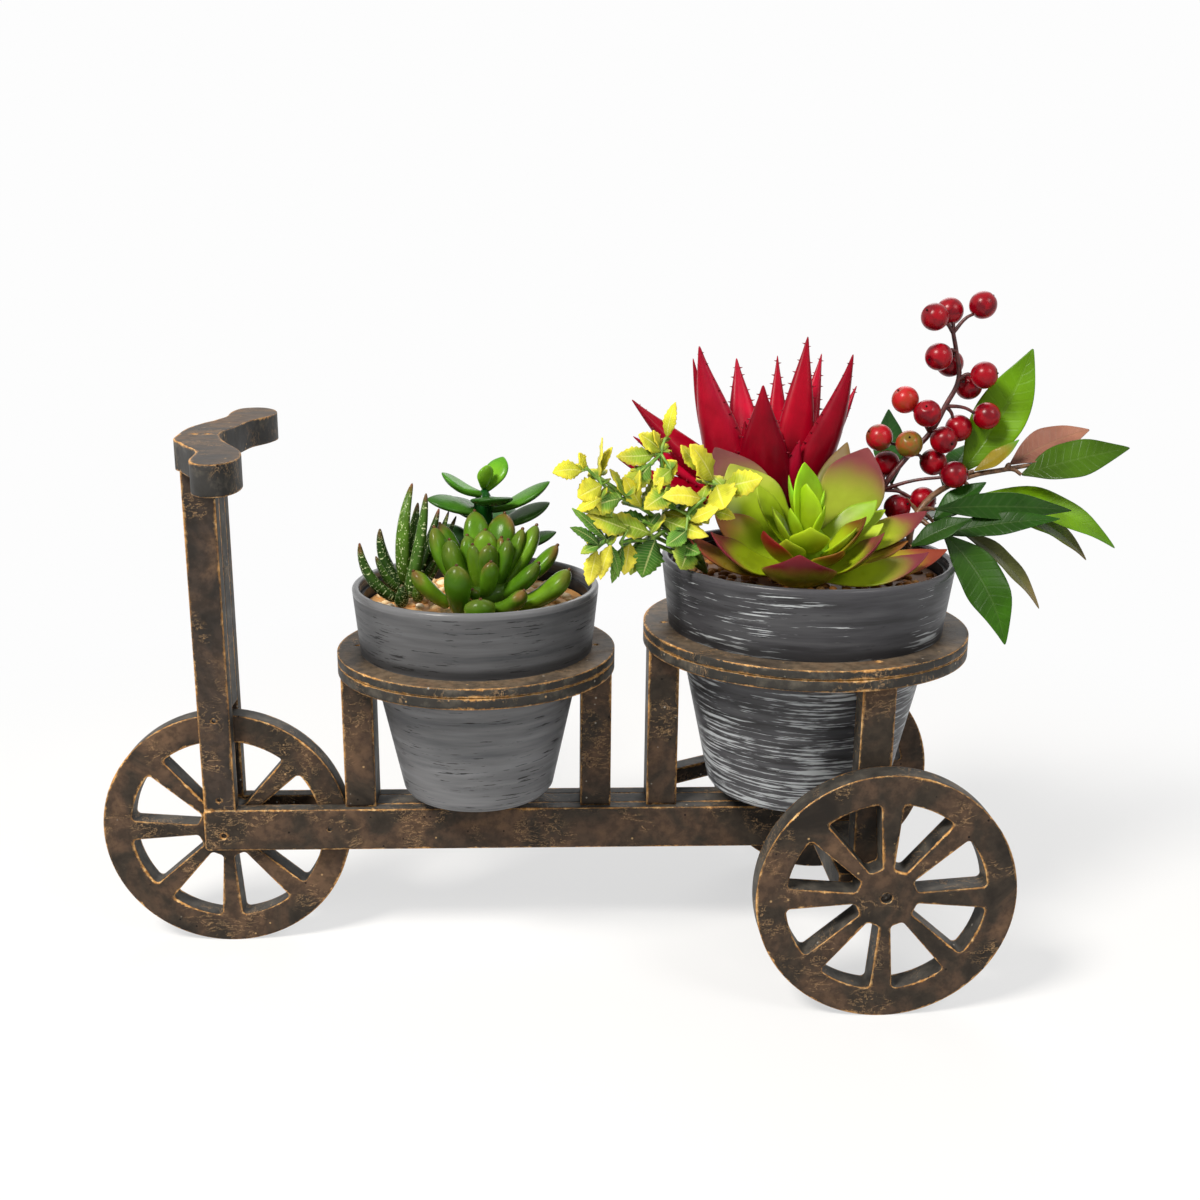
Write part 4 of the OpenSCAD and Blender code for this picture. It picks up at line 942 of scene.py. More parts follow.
class GrowJade(bpy.types.Operator):
    """Models the jade sprig at the back of the small pot"""
    bl_idname = "planter.grow_jade"
    bl_label = "Jade Sprig"

    def execute(self, context):
        blank = fleshy_blank([(0, 0.3, 0.6), (0.12, 0.42, 0.75), (0.3, 0.7, 0.9), (0.48, 0.95, 1),
                              (0.62, 1, 1), (0.78, 0.86, 0.9), (0.9, 0.54, 0.6), (1, 0.08, 0.12)], 12)
        # Each leaf: foot, tip, width, bow, roll and the colours of its body and tip
        # Upper leaves get lighter greens and lower leaves darker ones: painted light on top, painted shade
        # below
        leaves = [
            ((-2, 0, 44), (-20, -6, 55), 14.5, 0.16, 12, "#4e8a1e", "#3d7418"),
            ((-2, 2, 45), (7, 8, 60), 13, 0.1, 15, "#6ea422", "#4f8c1c"),
            ((-2, 0, 47), (0, -3, 58), 9, 0.08, 10, "#82bc2c", "#74ac24"),
            ((0, -3, 43), (4, -22, 46), 19, 0.14, 0, "#265a14", "#224a10"),
            ((1, -1, 37), (28, -5, 51), 14, 0.12, 14, "#487a1e", "#386618"),
            ((-1, -1, 34), (-27, -6, 43), 13, -0.06, 20, "#3e6e1e", "#2f5a18"),
            ((1, 0, 29), (28, 3, 40), 14, 0.08, 14, "#40662a", "#325420"),
            ((3, 0, 18), (31, 0, 27), 12, 0.06, 14, "#2e521c", "#254216"),
            ((-2, 3, 31), (-17, 17, 40), 14, 0.08, 0, "#33602c", "#2a4c24"),
            ((1, 4, 26), (9, 25, 34), 15, 0.08, 0, "#33602c", "#2a4c24"),
            ((-2, 0, 20), (-26, 8, 28), 13, 0.08, 30, "#2f5228", "#284420"),
            ((-1, -2, 29), (-4, -15, 30), 14, 0.14, 0, "#28561f", "#2a4c20"),
        ]
        grown = [grow(blank, JADE_FOOT, foot, tip, width, 4.2, bow, roll, 0.1, body=body, end=end)
                 for foot, tip, width, bow, roll, body, end in leaves]
        stem_green = "#124a14"
        stalk = [grow(blank, JADE_FOOT, (0, 0, z - 3), (x, y, z + 17), width, width * 0.95,
                      body=stem_green, end=stem_green)
                 for x, y, z, width in ((-1, 0, 30, 9), (-1, 0, 14, 8), (0, 0, 1, 8))]
        drop(blank)
        material = moulded_leaf("moulded polyethylene, jade", 0.24, 0.5, 1.0, 0.25, 9)
        finish(gather(grown + stalk), "jade_plant", material, "jade_sprig", SMALL_POT)
        return {"FINISHED"}


class GrowFingerRosette(bpy.types.Operator):
    """Models the rosette of finger leaves at the front of the small pot"""
    bl_idname = "planter.grow_finger_rosette"
    bl_label = "Finger Rosette"

    def execute(self, context):
        blank = fleshy_blank([(0, 0.6, 0.66), (0.15, 0.7, 0.76), (0.35, 0.84, 0.88), (0.55, 0.96, 0.98),
                              (0.7, 1, 1), (0.82, 0.93, 0.93), (0.91, 0.7, 0.7), (0.97, 0.4, 0.42),
                              (1, 0.12, 0.14)], 10)
        # Each leaf: foot, tip, width, bow and roll
        leaves = [
            ((-6, 0, 9), (-9, 14, 40), 9, 0.06, 0), ((-2, 0, 9), (4, 14, 39), 10.5, 0.06, 0),
            ((1, -2, 8), (18, 8, 35), 8, 0.13, 0), ((0, -2, 8), (12, 5, 34), 6.5, 0.08, 0),
            ((2, -2, 8), (27, 4, 27), 7.5, 0.19, 6), ((-2, -5, 6), (19, -8, 22), 8.5, 0.2, 6),
            ((8, -8, 3), (32, -8, 19), 9.5, 0.24, 6), ((-1, -16, 4), (13, -20, 13), 8, 0.3, 0),
            ((-7, -16, 1), (-5, -27, 11), 10.5, 0.4, 0), ((-14, -14, 1), (-15, -21, 24), 9, 0.2, 0),
            ((-19, -6, 3), (-34, -10, 19), 8, 0.14, 6), ((-6, -4, 6), (-19, -3, 31), 10, 0.25, 0),
            ((-10, -2, 7), (-26, 4, 35), 8.5, 0.22, 0), ((-9, -1, 10), (-24, 11, 35), 7.5, 0.1, 0),
            ((-5, -4, 6), (-9, -8, 30), 6, 0.1, 0), ((-4, -5, 6), (-2, -8, 30), 8, 0.06, 0),
            ((-4, -8, 6), (-1, -14, 24), 6.5, 0.14, 0), ((-1, -4, 7), (6, -3, 31), 8, 0.08, 0),
            ((-4, -2, 9), (-4, 3, 34), 8.5, 0.04, 0), ((-2, -2, 10), (3, 2, 31), 4.5, 0.04, 0),
            ((-7, -2, 8), (-12, 6, 31), 7, 0.08, 0), ((-7, -10, 6), (-9, -14, 12), 4.5, 0.2, 0),
        ]
        tones = ["#548018", "#477014", "#648c1e", "#4e7218"]
        ends = ["#5e6824", "#70582c", "#546822"]
        grown = [grow(blank, FINGER_FOOT, foot, tip, width * 1.27, width * 0.9, bow, roll, 0.12,
                      body=tones[i % 4], end=ends[i % 3])
                 for i, (foot, tip, width, bow, roll) in enumerate(leaves)]
        # A dark bud at the tip of each leaf, as the mould leaves it
        buds = []
        for foot, tip, *_ in leaves:
            near = [t - (t - f) * 0.05 for f, t in zip(foot, tip)]
            far = [t + (t - f) * 0.03 for f, t in zip(foot, tip)]
            buds.append(grow(blank, FINGER_FOOT, near, far, 1.5, 1.5, 0, body="#5f4024", end="#4f3420"))
        heart = grow(blank, FINGER_FOOT, (-2, -1, -2), (-3, -2, 14), 22, 20, 0, body="#3c5a1c",
                     end="#4a6c20")
        drop(blank)
        material = moulded_leaf("moulded polyethylene, finger rosette", 0.2, 0.8, 1.08, 0.16, 8)
        finish(gather(grown + buds + [heart]), "finger_rosette_plant", material, "finger_rosette", SMALL_POT)
        return {"FINISHED"}


# The aloe leaf's outline, and how far the leaf is cupped across and creased along its middle
ALOE_OUTLINE = ((0, 0.8, 0.8), (0.12, 0.95, 1), (0.25, 1, 1), (0.4, 0.96, 0.92), (0.55, 0.81, 0.8),
                (0.7, 0.57, 0.6), (0.82, 0.34, 0.38), (0.91, 0.17, 0.2), (0.97, 0.085, 0.1), (1, 0.03, 0.04))
ALOE_CUP = 0.1
ALOE_FOLD = 0.2


def set_teeth(tooth, leaves):
    """Copies the tooth along both rims of every aloe leaf, one to about seven millimetres."""
    rng = random.Random(11)
    size = sizes().tooth
    heights, widths, _ = zip(*ALOE_OUTLINE)
    teeth = []
    for foot, tip, width, bow, roll in leaves:
        at = leaf_frame(foot, tip, bow, roll)
        count = int((Vector(tip) - Vector(foot)).length / 7)
        for rim in (-1, 1):
            for i in range(1, count + 1):
                share = 0.16 + 0.78 * (i + rng.uniform(-0.25, 0.25)) / count
                half = 0.5 * width * MM * np.interp(share, heights, widths)
                place, way, side, upper = at(min(share, 0.98))
                lift = ALOE_CUP * 2 * half * half / (width * MM) + ALOE_FOLD * half
                out = side * rim
                forward = (way + out * 0.4).normalized()
                turn = Matrix((forward, upper, out)).transposed().to_4x4()
                root = ALOE_FOOT + place + out * (half - 0.35 * MM) + upper * lift
                reach = size * rng.uniform(0.7, 1.1) * (1 - 0.4 * share)
                grown = Matrix.Diagonal((reach * 0.9, reach * 0.9, reach, 1))
                copy = copy_of(tooth)
                copy.data.transform(Matrix.Translation(root) @ turn @ grown)
                paint(copy, "#8f1229", "#5a1a16")
                teeth.append(copy)
    return teeth


class GrowAloe(bpy.types.Operator):
    """Models the red toothed aloe at the back of the large pot"""
    bl_idname = "planter.grow_aloe"
    bl_label = "Red Aloe"

    def execute(self, context):
        blank = fleshy_blank(ALOE_OUTLINE, 12)
        # Each leaf: foot, tip, width, bow and roll
        leaves = [
            ((-20, -2, 26), (-39, 4, 96), 24, 0.06, -50), ((-24, 4, 30), (-41, 10, 90), 13, 0.06, -30),
            ((-12, 6, 29), (-19, 24, 89), 17, 0.05, 15), ((-9, -9, 18), (-13, -20, 81), 25, 0.05, 0),
            ((0, 8, 29), (1, 28, 90), 11, 0.02, 0), ((3, 2, 25), (12, 12, 100), 18, 0, 40),
            ((7, 8, 29), (22, 28, 91), 12, 0.03, 25), ((1, -6, 18), (28, -12, 94), 20, 0.1, -45),
            ((7, 2, 30), (35, 8, 78), 12, 0.08, 20), ((-21, -3, 29), (-70, -8, 73), 17, 0.06, 35),
            ((-21, -4, 27), (-69, -4, 56), 12, 0.06, 35), ((-20, -6, 25), (-76, -12, 47), 12, 0.1, 30),
            ((-4, 4, 25), (5, 12, 71), 14, 0.04, 10), ((-12, -4, 22), (-19, -10, 64), 15, 0.06, -20),
            ((-1, -6, 22), (5, -16, 56), 15, 0.08, 0), ((-8, -4, 12), (-24, -18, 52), 16, 0.1, 0),
            ((6, -4, 12), (20, -14, 48), 15, 0.1, 0), ((8, 8, 18), (25, 28, 64), 15, 0.1, 0),
        ]
        tones = ["#ae0626", "#9c021e", "#ba0c30", "#90001a"]
        grown = [grow(blank, ALOE_FOOT, foot, tip, width, width * 0.66, bow, roll, ALOE_CUP, ALOE_FOLD,
                      body=tones[i % 4], end="#84021c" if i % 2 else "#960a28")
                 for i, (foot, tip, width, bow, roll) in enumerate(leaves)]
        grown.append(grow(blank, ALOE_FOOT, (0, 0, -4), (-1, 0, 58), 26, 24, 0, body="#7d0e22",
                          end="#8a1026"))
        drop(blank)
        # One tooth, bent a little towards the tip
        deselect()
        bpy.ops.mesh.primitive_cone_add(vertices=6, radius1=0.42, radius2=0.06, depth=1,
                                        location=(0, 0, 0.5))
        tooth = bpy.context.object
        bpy.ops.object.transform_apply(location=True, rotation=False, scale=False)
        bpy.ops.object.mode_set(mode="EDIT")
        pick(tooth.data, lambda co: co.z > 0.5)
        bpy.ops.transform.translate(value=(0.25, 0, 0))
        bpy.ops.object.mode_set(mode="OBJECT")
        mark_blank(tooth)
        smooth(tooth)
        teeth = set_teeth(tooth, leaves)
        drop(tooth)
        material = moulded_leaf("moulded polyethylene, red aloe", 0.34, 0.66, 1.15, 0.5, 10)
        finish(gather(grown + teeth), "aloe_plant", material, "red_aloe", LARGE_POT)
        return {"FINISHED"}


class GrowEcheveria(bpy.types.Operator):
    """Models the lime echeveria with blushed outer leaves at the front of the large pot"""
    bl_idname = "planter.grow_echeveria"
    bl_label = "Echeveria"

    def execute(self, context):
        blank = fleshy_blank([(0, 0.34, 0.7), (0.12, 0.48, 0.85), (0.3, 0.74, 1), (0.48, 0.95, 1),
                              (0.6, 1, 0.95), (0.72, 0.9, 0.8), (0.83, 0.66, 0.6), (0.92, 0.34, 0.4),
                              (1, 0.03, 0.06)], 12)
        lime = "#a4c21c"
        # Each leaf: foot, tip, width, bow, cup, roll, body and tip colours
        leaves = [
            ((-7, 4, 15), (-39, 26, 54), 26, 0.1, 0.2, 45, "#8c8c3a", "#784644"),
            ((-5, 3, 12), (-33, 18, 48), 28, 0.12, 0.2, 50, "#8fa81e", "#9aa23c"),
            ((-5, 2, 10), (-41, 4, 29), 19, 0.16, 0.25, 45, "#9cb420", "#9a6438"),
            ((-9, -4, 7), (-45, -16, 25), 19, 0.3, 0.3, 30, "#96aa1a", "#742430"),
            ((-12, -2, 4), (-56, -12, 25), 11, 0.25, 0.3, 35, "#98842e", "#8a4432"),
            ((-5, -8, 6), (-12, -42, 21), 31, 0.46, 0.3, 0, "#96ae1c", "#6e1c26"),
            ((-5, -6, 9), (-24, -24, 27), 15, 0.28, 0.3, 10, "#a4941a", "#7e2018"),
            ((-2, -6, 10), (9, -26, 19), 15, 0.28, 0.3, 0, "#a0a01c", "#8a5a20"),
            ((2, -5, 6), (27, -22, 26), 19, 0.3, 0.3, 25, "#9cb01e", "#742a34"),
            ((1, -2, 10), (21, -14, 31), 18, 0.24, 0.3, 30, "#98ac1c", "#6e3c1c"),
            ((2, 2, 17), (29, 2, 35), 13, 0.16, 0.3, 45, "#869e1e", "#7ea022"),
            ((5, 4, 15), (34, 6, 30), 10, 0.1, 0.3, 35, "#a4c428", "#98b428"),
            ((6, 4, 10), (53, 8, 29), 14, 0.12, 0.3, 40, "#a0b424", "#763438"),
            ((7, 0, 10), (31, -4, 26), 11, 0.16, 0.3, 30, "#a4b828", "#b0c440"),
            ((10, 2, 6), (44, 2, 17), 9, 0.12, 0.3, 30, "#8a7c24", "#7c5028"),
            ((7, -2, 5), (59, -6, 15), 14, 0.16, 0.3, 40, "#a8a424", "#7e3828"),
            ((4, -7, 3), (48, -16, 16), 13, 0.22, 0.3, 40, "#9cb41e", "#74303a"),
            ((8, 5, 14), (28, 20, 55), 28, 0.06, 0.2, 45, "#8f9c2c", "#763a3c"),
            ((1, 10, 12), (21, 30, 56), 15, 0.04, 0.2, 20, "#76802c", "#6e5a34"),
            ((-6, 2, 13), (-23, 4, 42), 12, 0.1, 0.35, 40, "#98b41c", "#a0b82c"),
            ((-4, 0, 12), (-18, -6, 34), 12, 0.12, 0.35, 30, "#a0b81c", "#98b42c"),
            ((-1, 2, 15), (-3, 4, 51), 22, 0.02, 0.2, 0, "#a4c81c", "#94c824"),
            ((-1, -1, 14), (-3, -3, 43), 15, 0.1, 0.3, 0, lime, "#9cc41c"),
            ((-1, 0, 18), (-10, 1, 46), 8, 0.1, 0.3, 0, lime, "#88c42c"),
            ((-2, -1, 18), (5, -2, 40), 8, 0.14, 0.3, 0, "#a8cc1c", "#98c828"),
            ((-2, -2, 16), (5, -5, 34), 9, 0.16, 0.3, 0, "#acc81c", "#9cc420"),
            ((-2, -2, 15), (-10, -6, 33), 8, 0.16, 0.3, 0, "#a8c41c", "#9cc424"),
            ((-1, -4, 14), (-4, -22, 28), 17, 0.34, 0.35, 0, "#aac41c", "#b0cc24"),
            ((-4, -4, 12), (-14, -22, 23), 12, 0.3, 0.3, 0, "#9cb41c", "#a4b828"),
            ((3, -4, 12), (16, -18, 27), 13, 0.25, 0.3, 15, lime, "#a4c028"),
            ((6, 2, 8), (40, 12, 24), 14, 0.2, 0.3, 30, "#8c9c24", "#8a6a34"),
            ((-6, 4, 8), (-34, 8, 20), 14, 0.2, 0.3, 30, "#8c9c24", "#8a6a34"),
        ]
        grown = [grow(blank, ECHEVERIA_FOOT, foot, tip, width, 2.4 + width * 0.04, bow, roll, cup,
                      body=body, end=end)
                 for foot, tip, width, bow, cup, roll, body, end in leaves]
        grown.append(grow(blank, ECHEVERIA_FOOT, (0, 0, -4), (0, 0, 26), 20, 20, 0, body="#86ad2c",
                          end="#86ad2c"))
        drop(blank)
        material = moulded_leaf("moulded polyethylene, echeveria", 0.3, 0.5, 0.9, 0.12, 16, soft=0.2,
                                foot_shade=0.86)
        finish(gather(grown), "echeveria_plant", material, "echeveria", LARGE_POT)
        return {"FINISHED"}


class GrowSprig(bpy.types.Operator):
    """Models the yellow and green toothed sprig at the left of the large pot"""
    bl_idname = "planter.grow_sprig"
    bl_label = "Variegated Sprig"

    def execute(self, context):
        blank = blade_blank([0.12, 0.3, 0.52, 0.72, 0.87, 0.97, 1.0, 0.98, 0.94, 0.86, 0.76, 0.62, 0.46,
                             0.27, 0.04], 4, 0.05, teeth=0.16)
        # Each leaf: foot, tip, width, and y for yellow, m for mixed or g for green
        leaves = [
            ((-19, -6, 61), (-16, -6, 75), 4.8, "y"), ((0, -16, 44), (-10, -20, 59), 12.1, "y"),
            ((4, -18, 42), (18, -26, 47), 9.7, "y"), ((1, -20, 43), (3, -30, 36), 13.5, "y"),
            ((-5, -20, 37), (-21, -26, 39), 8.2, "y"), ((0, -20, 32), (8, -24, 30), 4.8, "y"),
            ((-4, -10, 48), (-13, -12, 58), 6.8, "y"), ((-25, -14, 55), (-40, -18, 55), 7.2, "m"),
            ((-22, -12, 56), (-31, -14, 63), 8.7, "y"), ((-21, -8, 55), (-25, -10, 64), 7.7, "y"),
            ((-27, -18, 51), (-36, -22, 42), 8.2, "m"), ((-31, -20, 49), (-39, -24, 41), 6.8, "y"),
            ((-18, -16, 49), (-25, -22, 44), 6.8, "m"), ((-18, -22, 41), (-29, -28, 35), 8.7, "m"),
            ((-19, -14, 36), (-29, -18, 39), 6.3, "g"), ((-22, -22, 29), (-4, -26, 23), 7.2, "m"),
            ((-21, -18, 31), (-6, -22, 27), 6.3, "y"), ((-22, -20, 25), (-30, -24, 29), 7.2, "g"),
            ((-27, -24, 27), (-41, -28, 30), 7.2, "g"), ((-27, -28, 24), (-48, -34, 31), 9.2, "m"),
            ((-25, -26, 21), (-30, -30, 7), 11.6, "g"), ((-31, -26, 21), (-35, -30, 8), 7.2, "g"),
            ((-36, -30, 21), (-38, -34, 9), 7.2, "y"), ((-10, -24, 18), (-14, -30, 10), 11.6, "g"),
            ((-17, -22, 20), (-7, -28, 16), 7.7, "g"), ((-39, -34, 20), (-43, -36, 6), 4.3, "g"),
            ((-56, -38, 52), (-67, -42, 52), 6.8, "y"), ((-54, -36, 53), (-57, -38, 59), 5.8, "y"),
            ((-49, -34, 48), (-48, -36, 64), 7.7, "y"), ((-49, -30, 49), (-44, -32, 60), 4.3, "y"),
            ((-48, -36, 46), (-57, -40, 42), 9.2, "y"), ((-48, -38, 41), (-58, -42, 36), 4.3, "y"),
            ((-40, -34, 40), (-54, -40, 36), 8.2, "m"), ((-46, -40, 24), (-59, -44, 37), 4.3, "g"),
            ((-49, -42, 22), (-60, -46, 30), 3.9, "g"), ((-37, -34, 27), (-53, -40, 34), 9.2, "m"),
            ((-49, -42, 22), (-56, -46, 20), 3.9, "g"), ((-50, -42, 20), (-53, -44, 7), 6.3, "y"),
            ((-44, -40, 22), (-48, -42, 9), 5.3, "y"), ((-45, -38, 22), (-41, -38, 9), 3.9, "g"),
            ((-31, -26, 35), (-38, -28, 47), 7.7, "y"), ((-36, -22, 35), (-32, -24, 49), 6.8, "m"),
            ((-29, -20, 37), (-22, -22, 46), 6.8, "y"), ((-10, -24, 29), (0, -30, 35), 6.8, "y"),
            ((-14, -16, 31), (-10, -18, 41), 7.7, "m"), ((-16, -20, 33), (-20, -22, 42), 7.2, "g"),
            ((-12, -26, 25), (-20, -30, 20), 6.8, "g"), ((-31, -24, 15), (-25, -26, 10), 5.8, "g"),
            ((-38, -30, 40), (-44, -32, 51), 6.3, "m"), ((-22, -12, 45), (-16, -14, 52), 7.2, "y"),
            ((-10, -20, 35), (-3, -24, 28), 6.8, "m"), ((-44, -36, 33), (-50, -38, 41), 6.3, "m"),
        ]
        # Each twig: its points from the foot
        twigs = [
            [(0, 0, 1), (-12, -8, 12), (-24, -16, 20), (-35, -28, 25), (-46, -38, 23), (-51, -42, 20)],
            [(0, 0, 1), (-10, -6, 16), (-31, -22, 34), (-43, -32, 42), (-54, -37, 53)],
            [(0, 0, 1), (-8, -5, 22), (-18, -11, 40), (-22, -12, 55), (-20, -8, 61)],
            [(0, 0, 1), (-6, -9, 18), (-6, -16, 34), (1, -18, 43)],
            [(0, 0, 1), (-12, -10, 12), (-24, -22, 25), (-30, -26, 29)],
            [(0, 0, 1), (-14, -14, 12), (-34, -30, 22), (-40, -36, 22)],
            [(0, 0, 1), (-8, -12, 18), (-11, -22, 31), (-4, -22, 38)],
            [(0, 0, 1), (-18, -12, 22), (-36, -28, 39), (-49, -35, 49)],
            [(0, 0, 1), (-12, -14, 14), (-20, -22, 24), (-26, -26, 22)],
        ]
        # Body and rim colours for each kind of leaf
        tones = {"y": [("#c0c232", "#e2d63c"), ("#d2cc3c", "#e8dc4c"), ("#a8b62c", "#d8d03c")],
                 "m": [("#74982c", "#c8c23c"), ("#8ca830", "#d2ca40"), ("#5e8a2c", "#b2b438")],
                 "g": [("#48782a", "#6a9838"), ("#568a2e", "#98ac3c"), ("#3a6824", "#56862e")]}
        rng = random.Random(4)
        grown = []
        nodes = [point for twig in twigs for point in twig[1:]]
        paths = [[(*point, 1.05 - 0.1 * i) for i, point in enumerate(twig)] for twig in twigs]
        for foot, tip, width, kind in leaves:
            root = Vector(foot)
            length = (Vector(tip) - root).length
            body, rim = rng.choice(tones[kind])
            far = [t + (t - f) * 0.08 for f, t in zip(foot, tip)]
            grown.append(grow(blank, SPRIG_FOOT, foot, far, width * 1.3, 10, rng.uniform(-0.14, 0.06),
                              rng.uniform(35, 75), 0.25, -0.25, 0.12, body, rim))
            near = min(nodes, key=lambda point: (Vector(point) - root).length)
            if (Vector(near) - root).length > 0.8:
                paths.append([(*near, 0.7), (*foot, 0.5)])
            # A smaller leaf opposite each one, as they grow in pairs
            aim = Vector((rng.uniform(-0.6, 0.6), rng.uniform(0.4, 0.9), rng.uniform(-0.2, 0.6)))
            away = root + length * 0.55 * aim.normalized()
            roll = rng.uniform(-30, 30)
            body, rim = rng.choice(tones["g" if kind == "g" else "m"])
            grown.append(grow(blank, SPRIG_FOOT, foot, away, width * 0.85, 10, -0.08, roll, 0.2, -0.2, 0.1,
                              body, rim))
        drop(blank)
        leafy = moulded_leaf("pressed polyethylene, variegated", 0.4, 0.4, 1.0, 0.5, 6, veins=0.3,
                             vein="#eeeaa0")
        finish(gather(grown), "variegated_leaves", leafy, "variegated_sprig", LARGE_POT)
        bark = wrapped_stem("moulded twig, green", "#4a7c24", "#84a440")
        branch = stems("variegated_twigs", SPRIG_FOOT, paths)
        finish(branch, "variegated_twigs", bark, "variegated_sprig", LARGE_POT)
        return {"FINISHED"}


class GrowBerries(bpy.types.Operator):
    """Models the branch of glossy red berries"""
    bl_idname = "planter.grow_berries"
    bl_label = "Berry Branch"

    def execute(self, context):
        # The stem's points, in millimetres from its foot
        path = [(0, 0, 1), (4, -4, 20), (9, -8, 34), (20, -9, 50), (29, -9, 60), (35, -9, 72), (40, -9, 84),
                (38, -9, 96), (36, -9, 104)]
        # Each berry: the point of the stem that its stalk leaves, then its place from the foot
        berries = [(8, 26, -14, 111), (8, 35, -5, 113), (8, 48, -10, 116), (7, 29, -14, 94), (7, 38, -1, 90),
                   (6, 50, -13, 86), (6, 47, -2, 80), (5, 53, -12, 68), (5, 42, -8, 62), (4, 16, -12, 75),
                   (4, 24, -20, 70), (3, 6, -10, 58), (3, 18, -16, 56), (4, 33, -17, 58), (3, 31, -10, 47),
                   (2, 38, -20, 43), (2, 27, -12, 30), (1, 15, -14, 27), (2, 12, -2, 45), (1, 3, -13, 33)]
        # The unripe ones by their place in the list, each with its body and tip colours
        unripe = {12: ("#6b5a1c", "#9c3a20"), 19: ("#6f6a3a", "#8a4a38"), 11: ("#a3141f", "#6a3a18"),
                  9: ("#b01a20", "#8e3018")}
        radius = sizes().berry
        # One berry: a ball with a sunk eye and a small dry calyx standing in it
        deselect()
        bpy.ops.mesh.primitive_uv_sphere_add(segments=28, ring_count=18, radius=1.0)
        ball = bpy.context.object
        bpy.ops.object.mode_set(mode="EDIT")
        pick(ball.data, lambda co: co.z > 0.97)
        bpy.ops.transform.translate(value=(0, 0, -0.09))
        pick(ball.data, lambda co: co.z < -0.97)
        bpy.ops.transform.translate(value=(0, 0, 0.06))
        bpy.ops.object.mode_set(mode="OBJECT")
        smooth(ball)
        bpy.ops.mesh.primitive_cone_add(vertices=6, radius1=0.1, radius2=0.02, depth=0.16,
                                        location=(0, 0, 0.95))
        calyx = bpy.context.object
        bpy.ops.object.transform_apply(location=True, rotation=True, scale=True)
        bpy.ops.object.mode_set(mode="EDIT")
        pick(calyx.data, lambda co: co.z > 1.0)
        bpy.ops.transform.resize(value=(2.5, 2.5, 1), center_override=(0, 0, 1.0))
        bpy.ops.object.mode_set(mode="OBJECT")
        smooth(calyx, 40)
        balls, dots = [], []
        stalks = [[(*point, 1.5 - 0.07 * i) for i, point in enumerate(path)]]
        for i, (knot, x, y, z) in enumerate(berries):
            centre, start = Vector((x, y, z)), Vector(path[knot])
            out = (centre - start).normalized()
            turn = out.to_track_quat("Z", "Y").to_matrix().to_4x4()
            place = Matrix.Translation(BERRY_FOOT + centre * MM)
            skin = unripe.get(i, (colours().berry_red, "#5e0210"))
            for source, pieces, tones in ((ball, balls, skin), (calyx, dots, ("#1c0f0c", "#1c0f0c"))):
                copy = copy_of(source)
                copy.data.transform(place @ turn @ Matrix.Scale(radius, 4))
                paint(copy, *tones)
                pieces.append(copy)
            bend = start.lerp(centre, 0.45) + Vector((0, 0, 1.2))
            near = centre - out * (radius / MM - 0.4)
            stalks.append([(*start, 0.95), (*bend, 0.75), (*near, 0.7)])
        drop(ball, calyx)
        lacquer = lacquered_berry("lacquered foam, red berry")
        finish(gather(balls + dots), "lacquered_berries", lacquer, "berries", LARGE_POT)
        bark = wrapped_stem("paper wrapped wire, maroon", "#2c0d0d", "#5a201c")
        branch = stems("berry_branch", BERRY_FOOT, stalks, 3)
        finish(branch, "berry_branch", bark, "berry_stem", LARGE_POT)
        return {"FINISHED"}


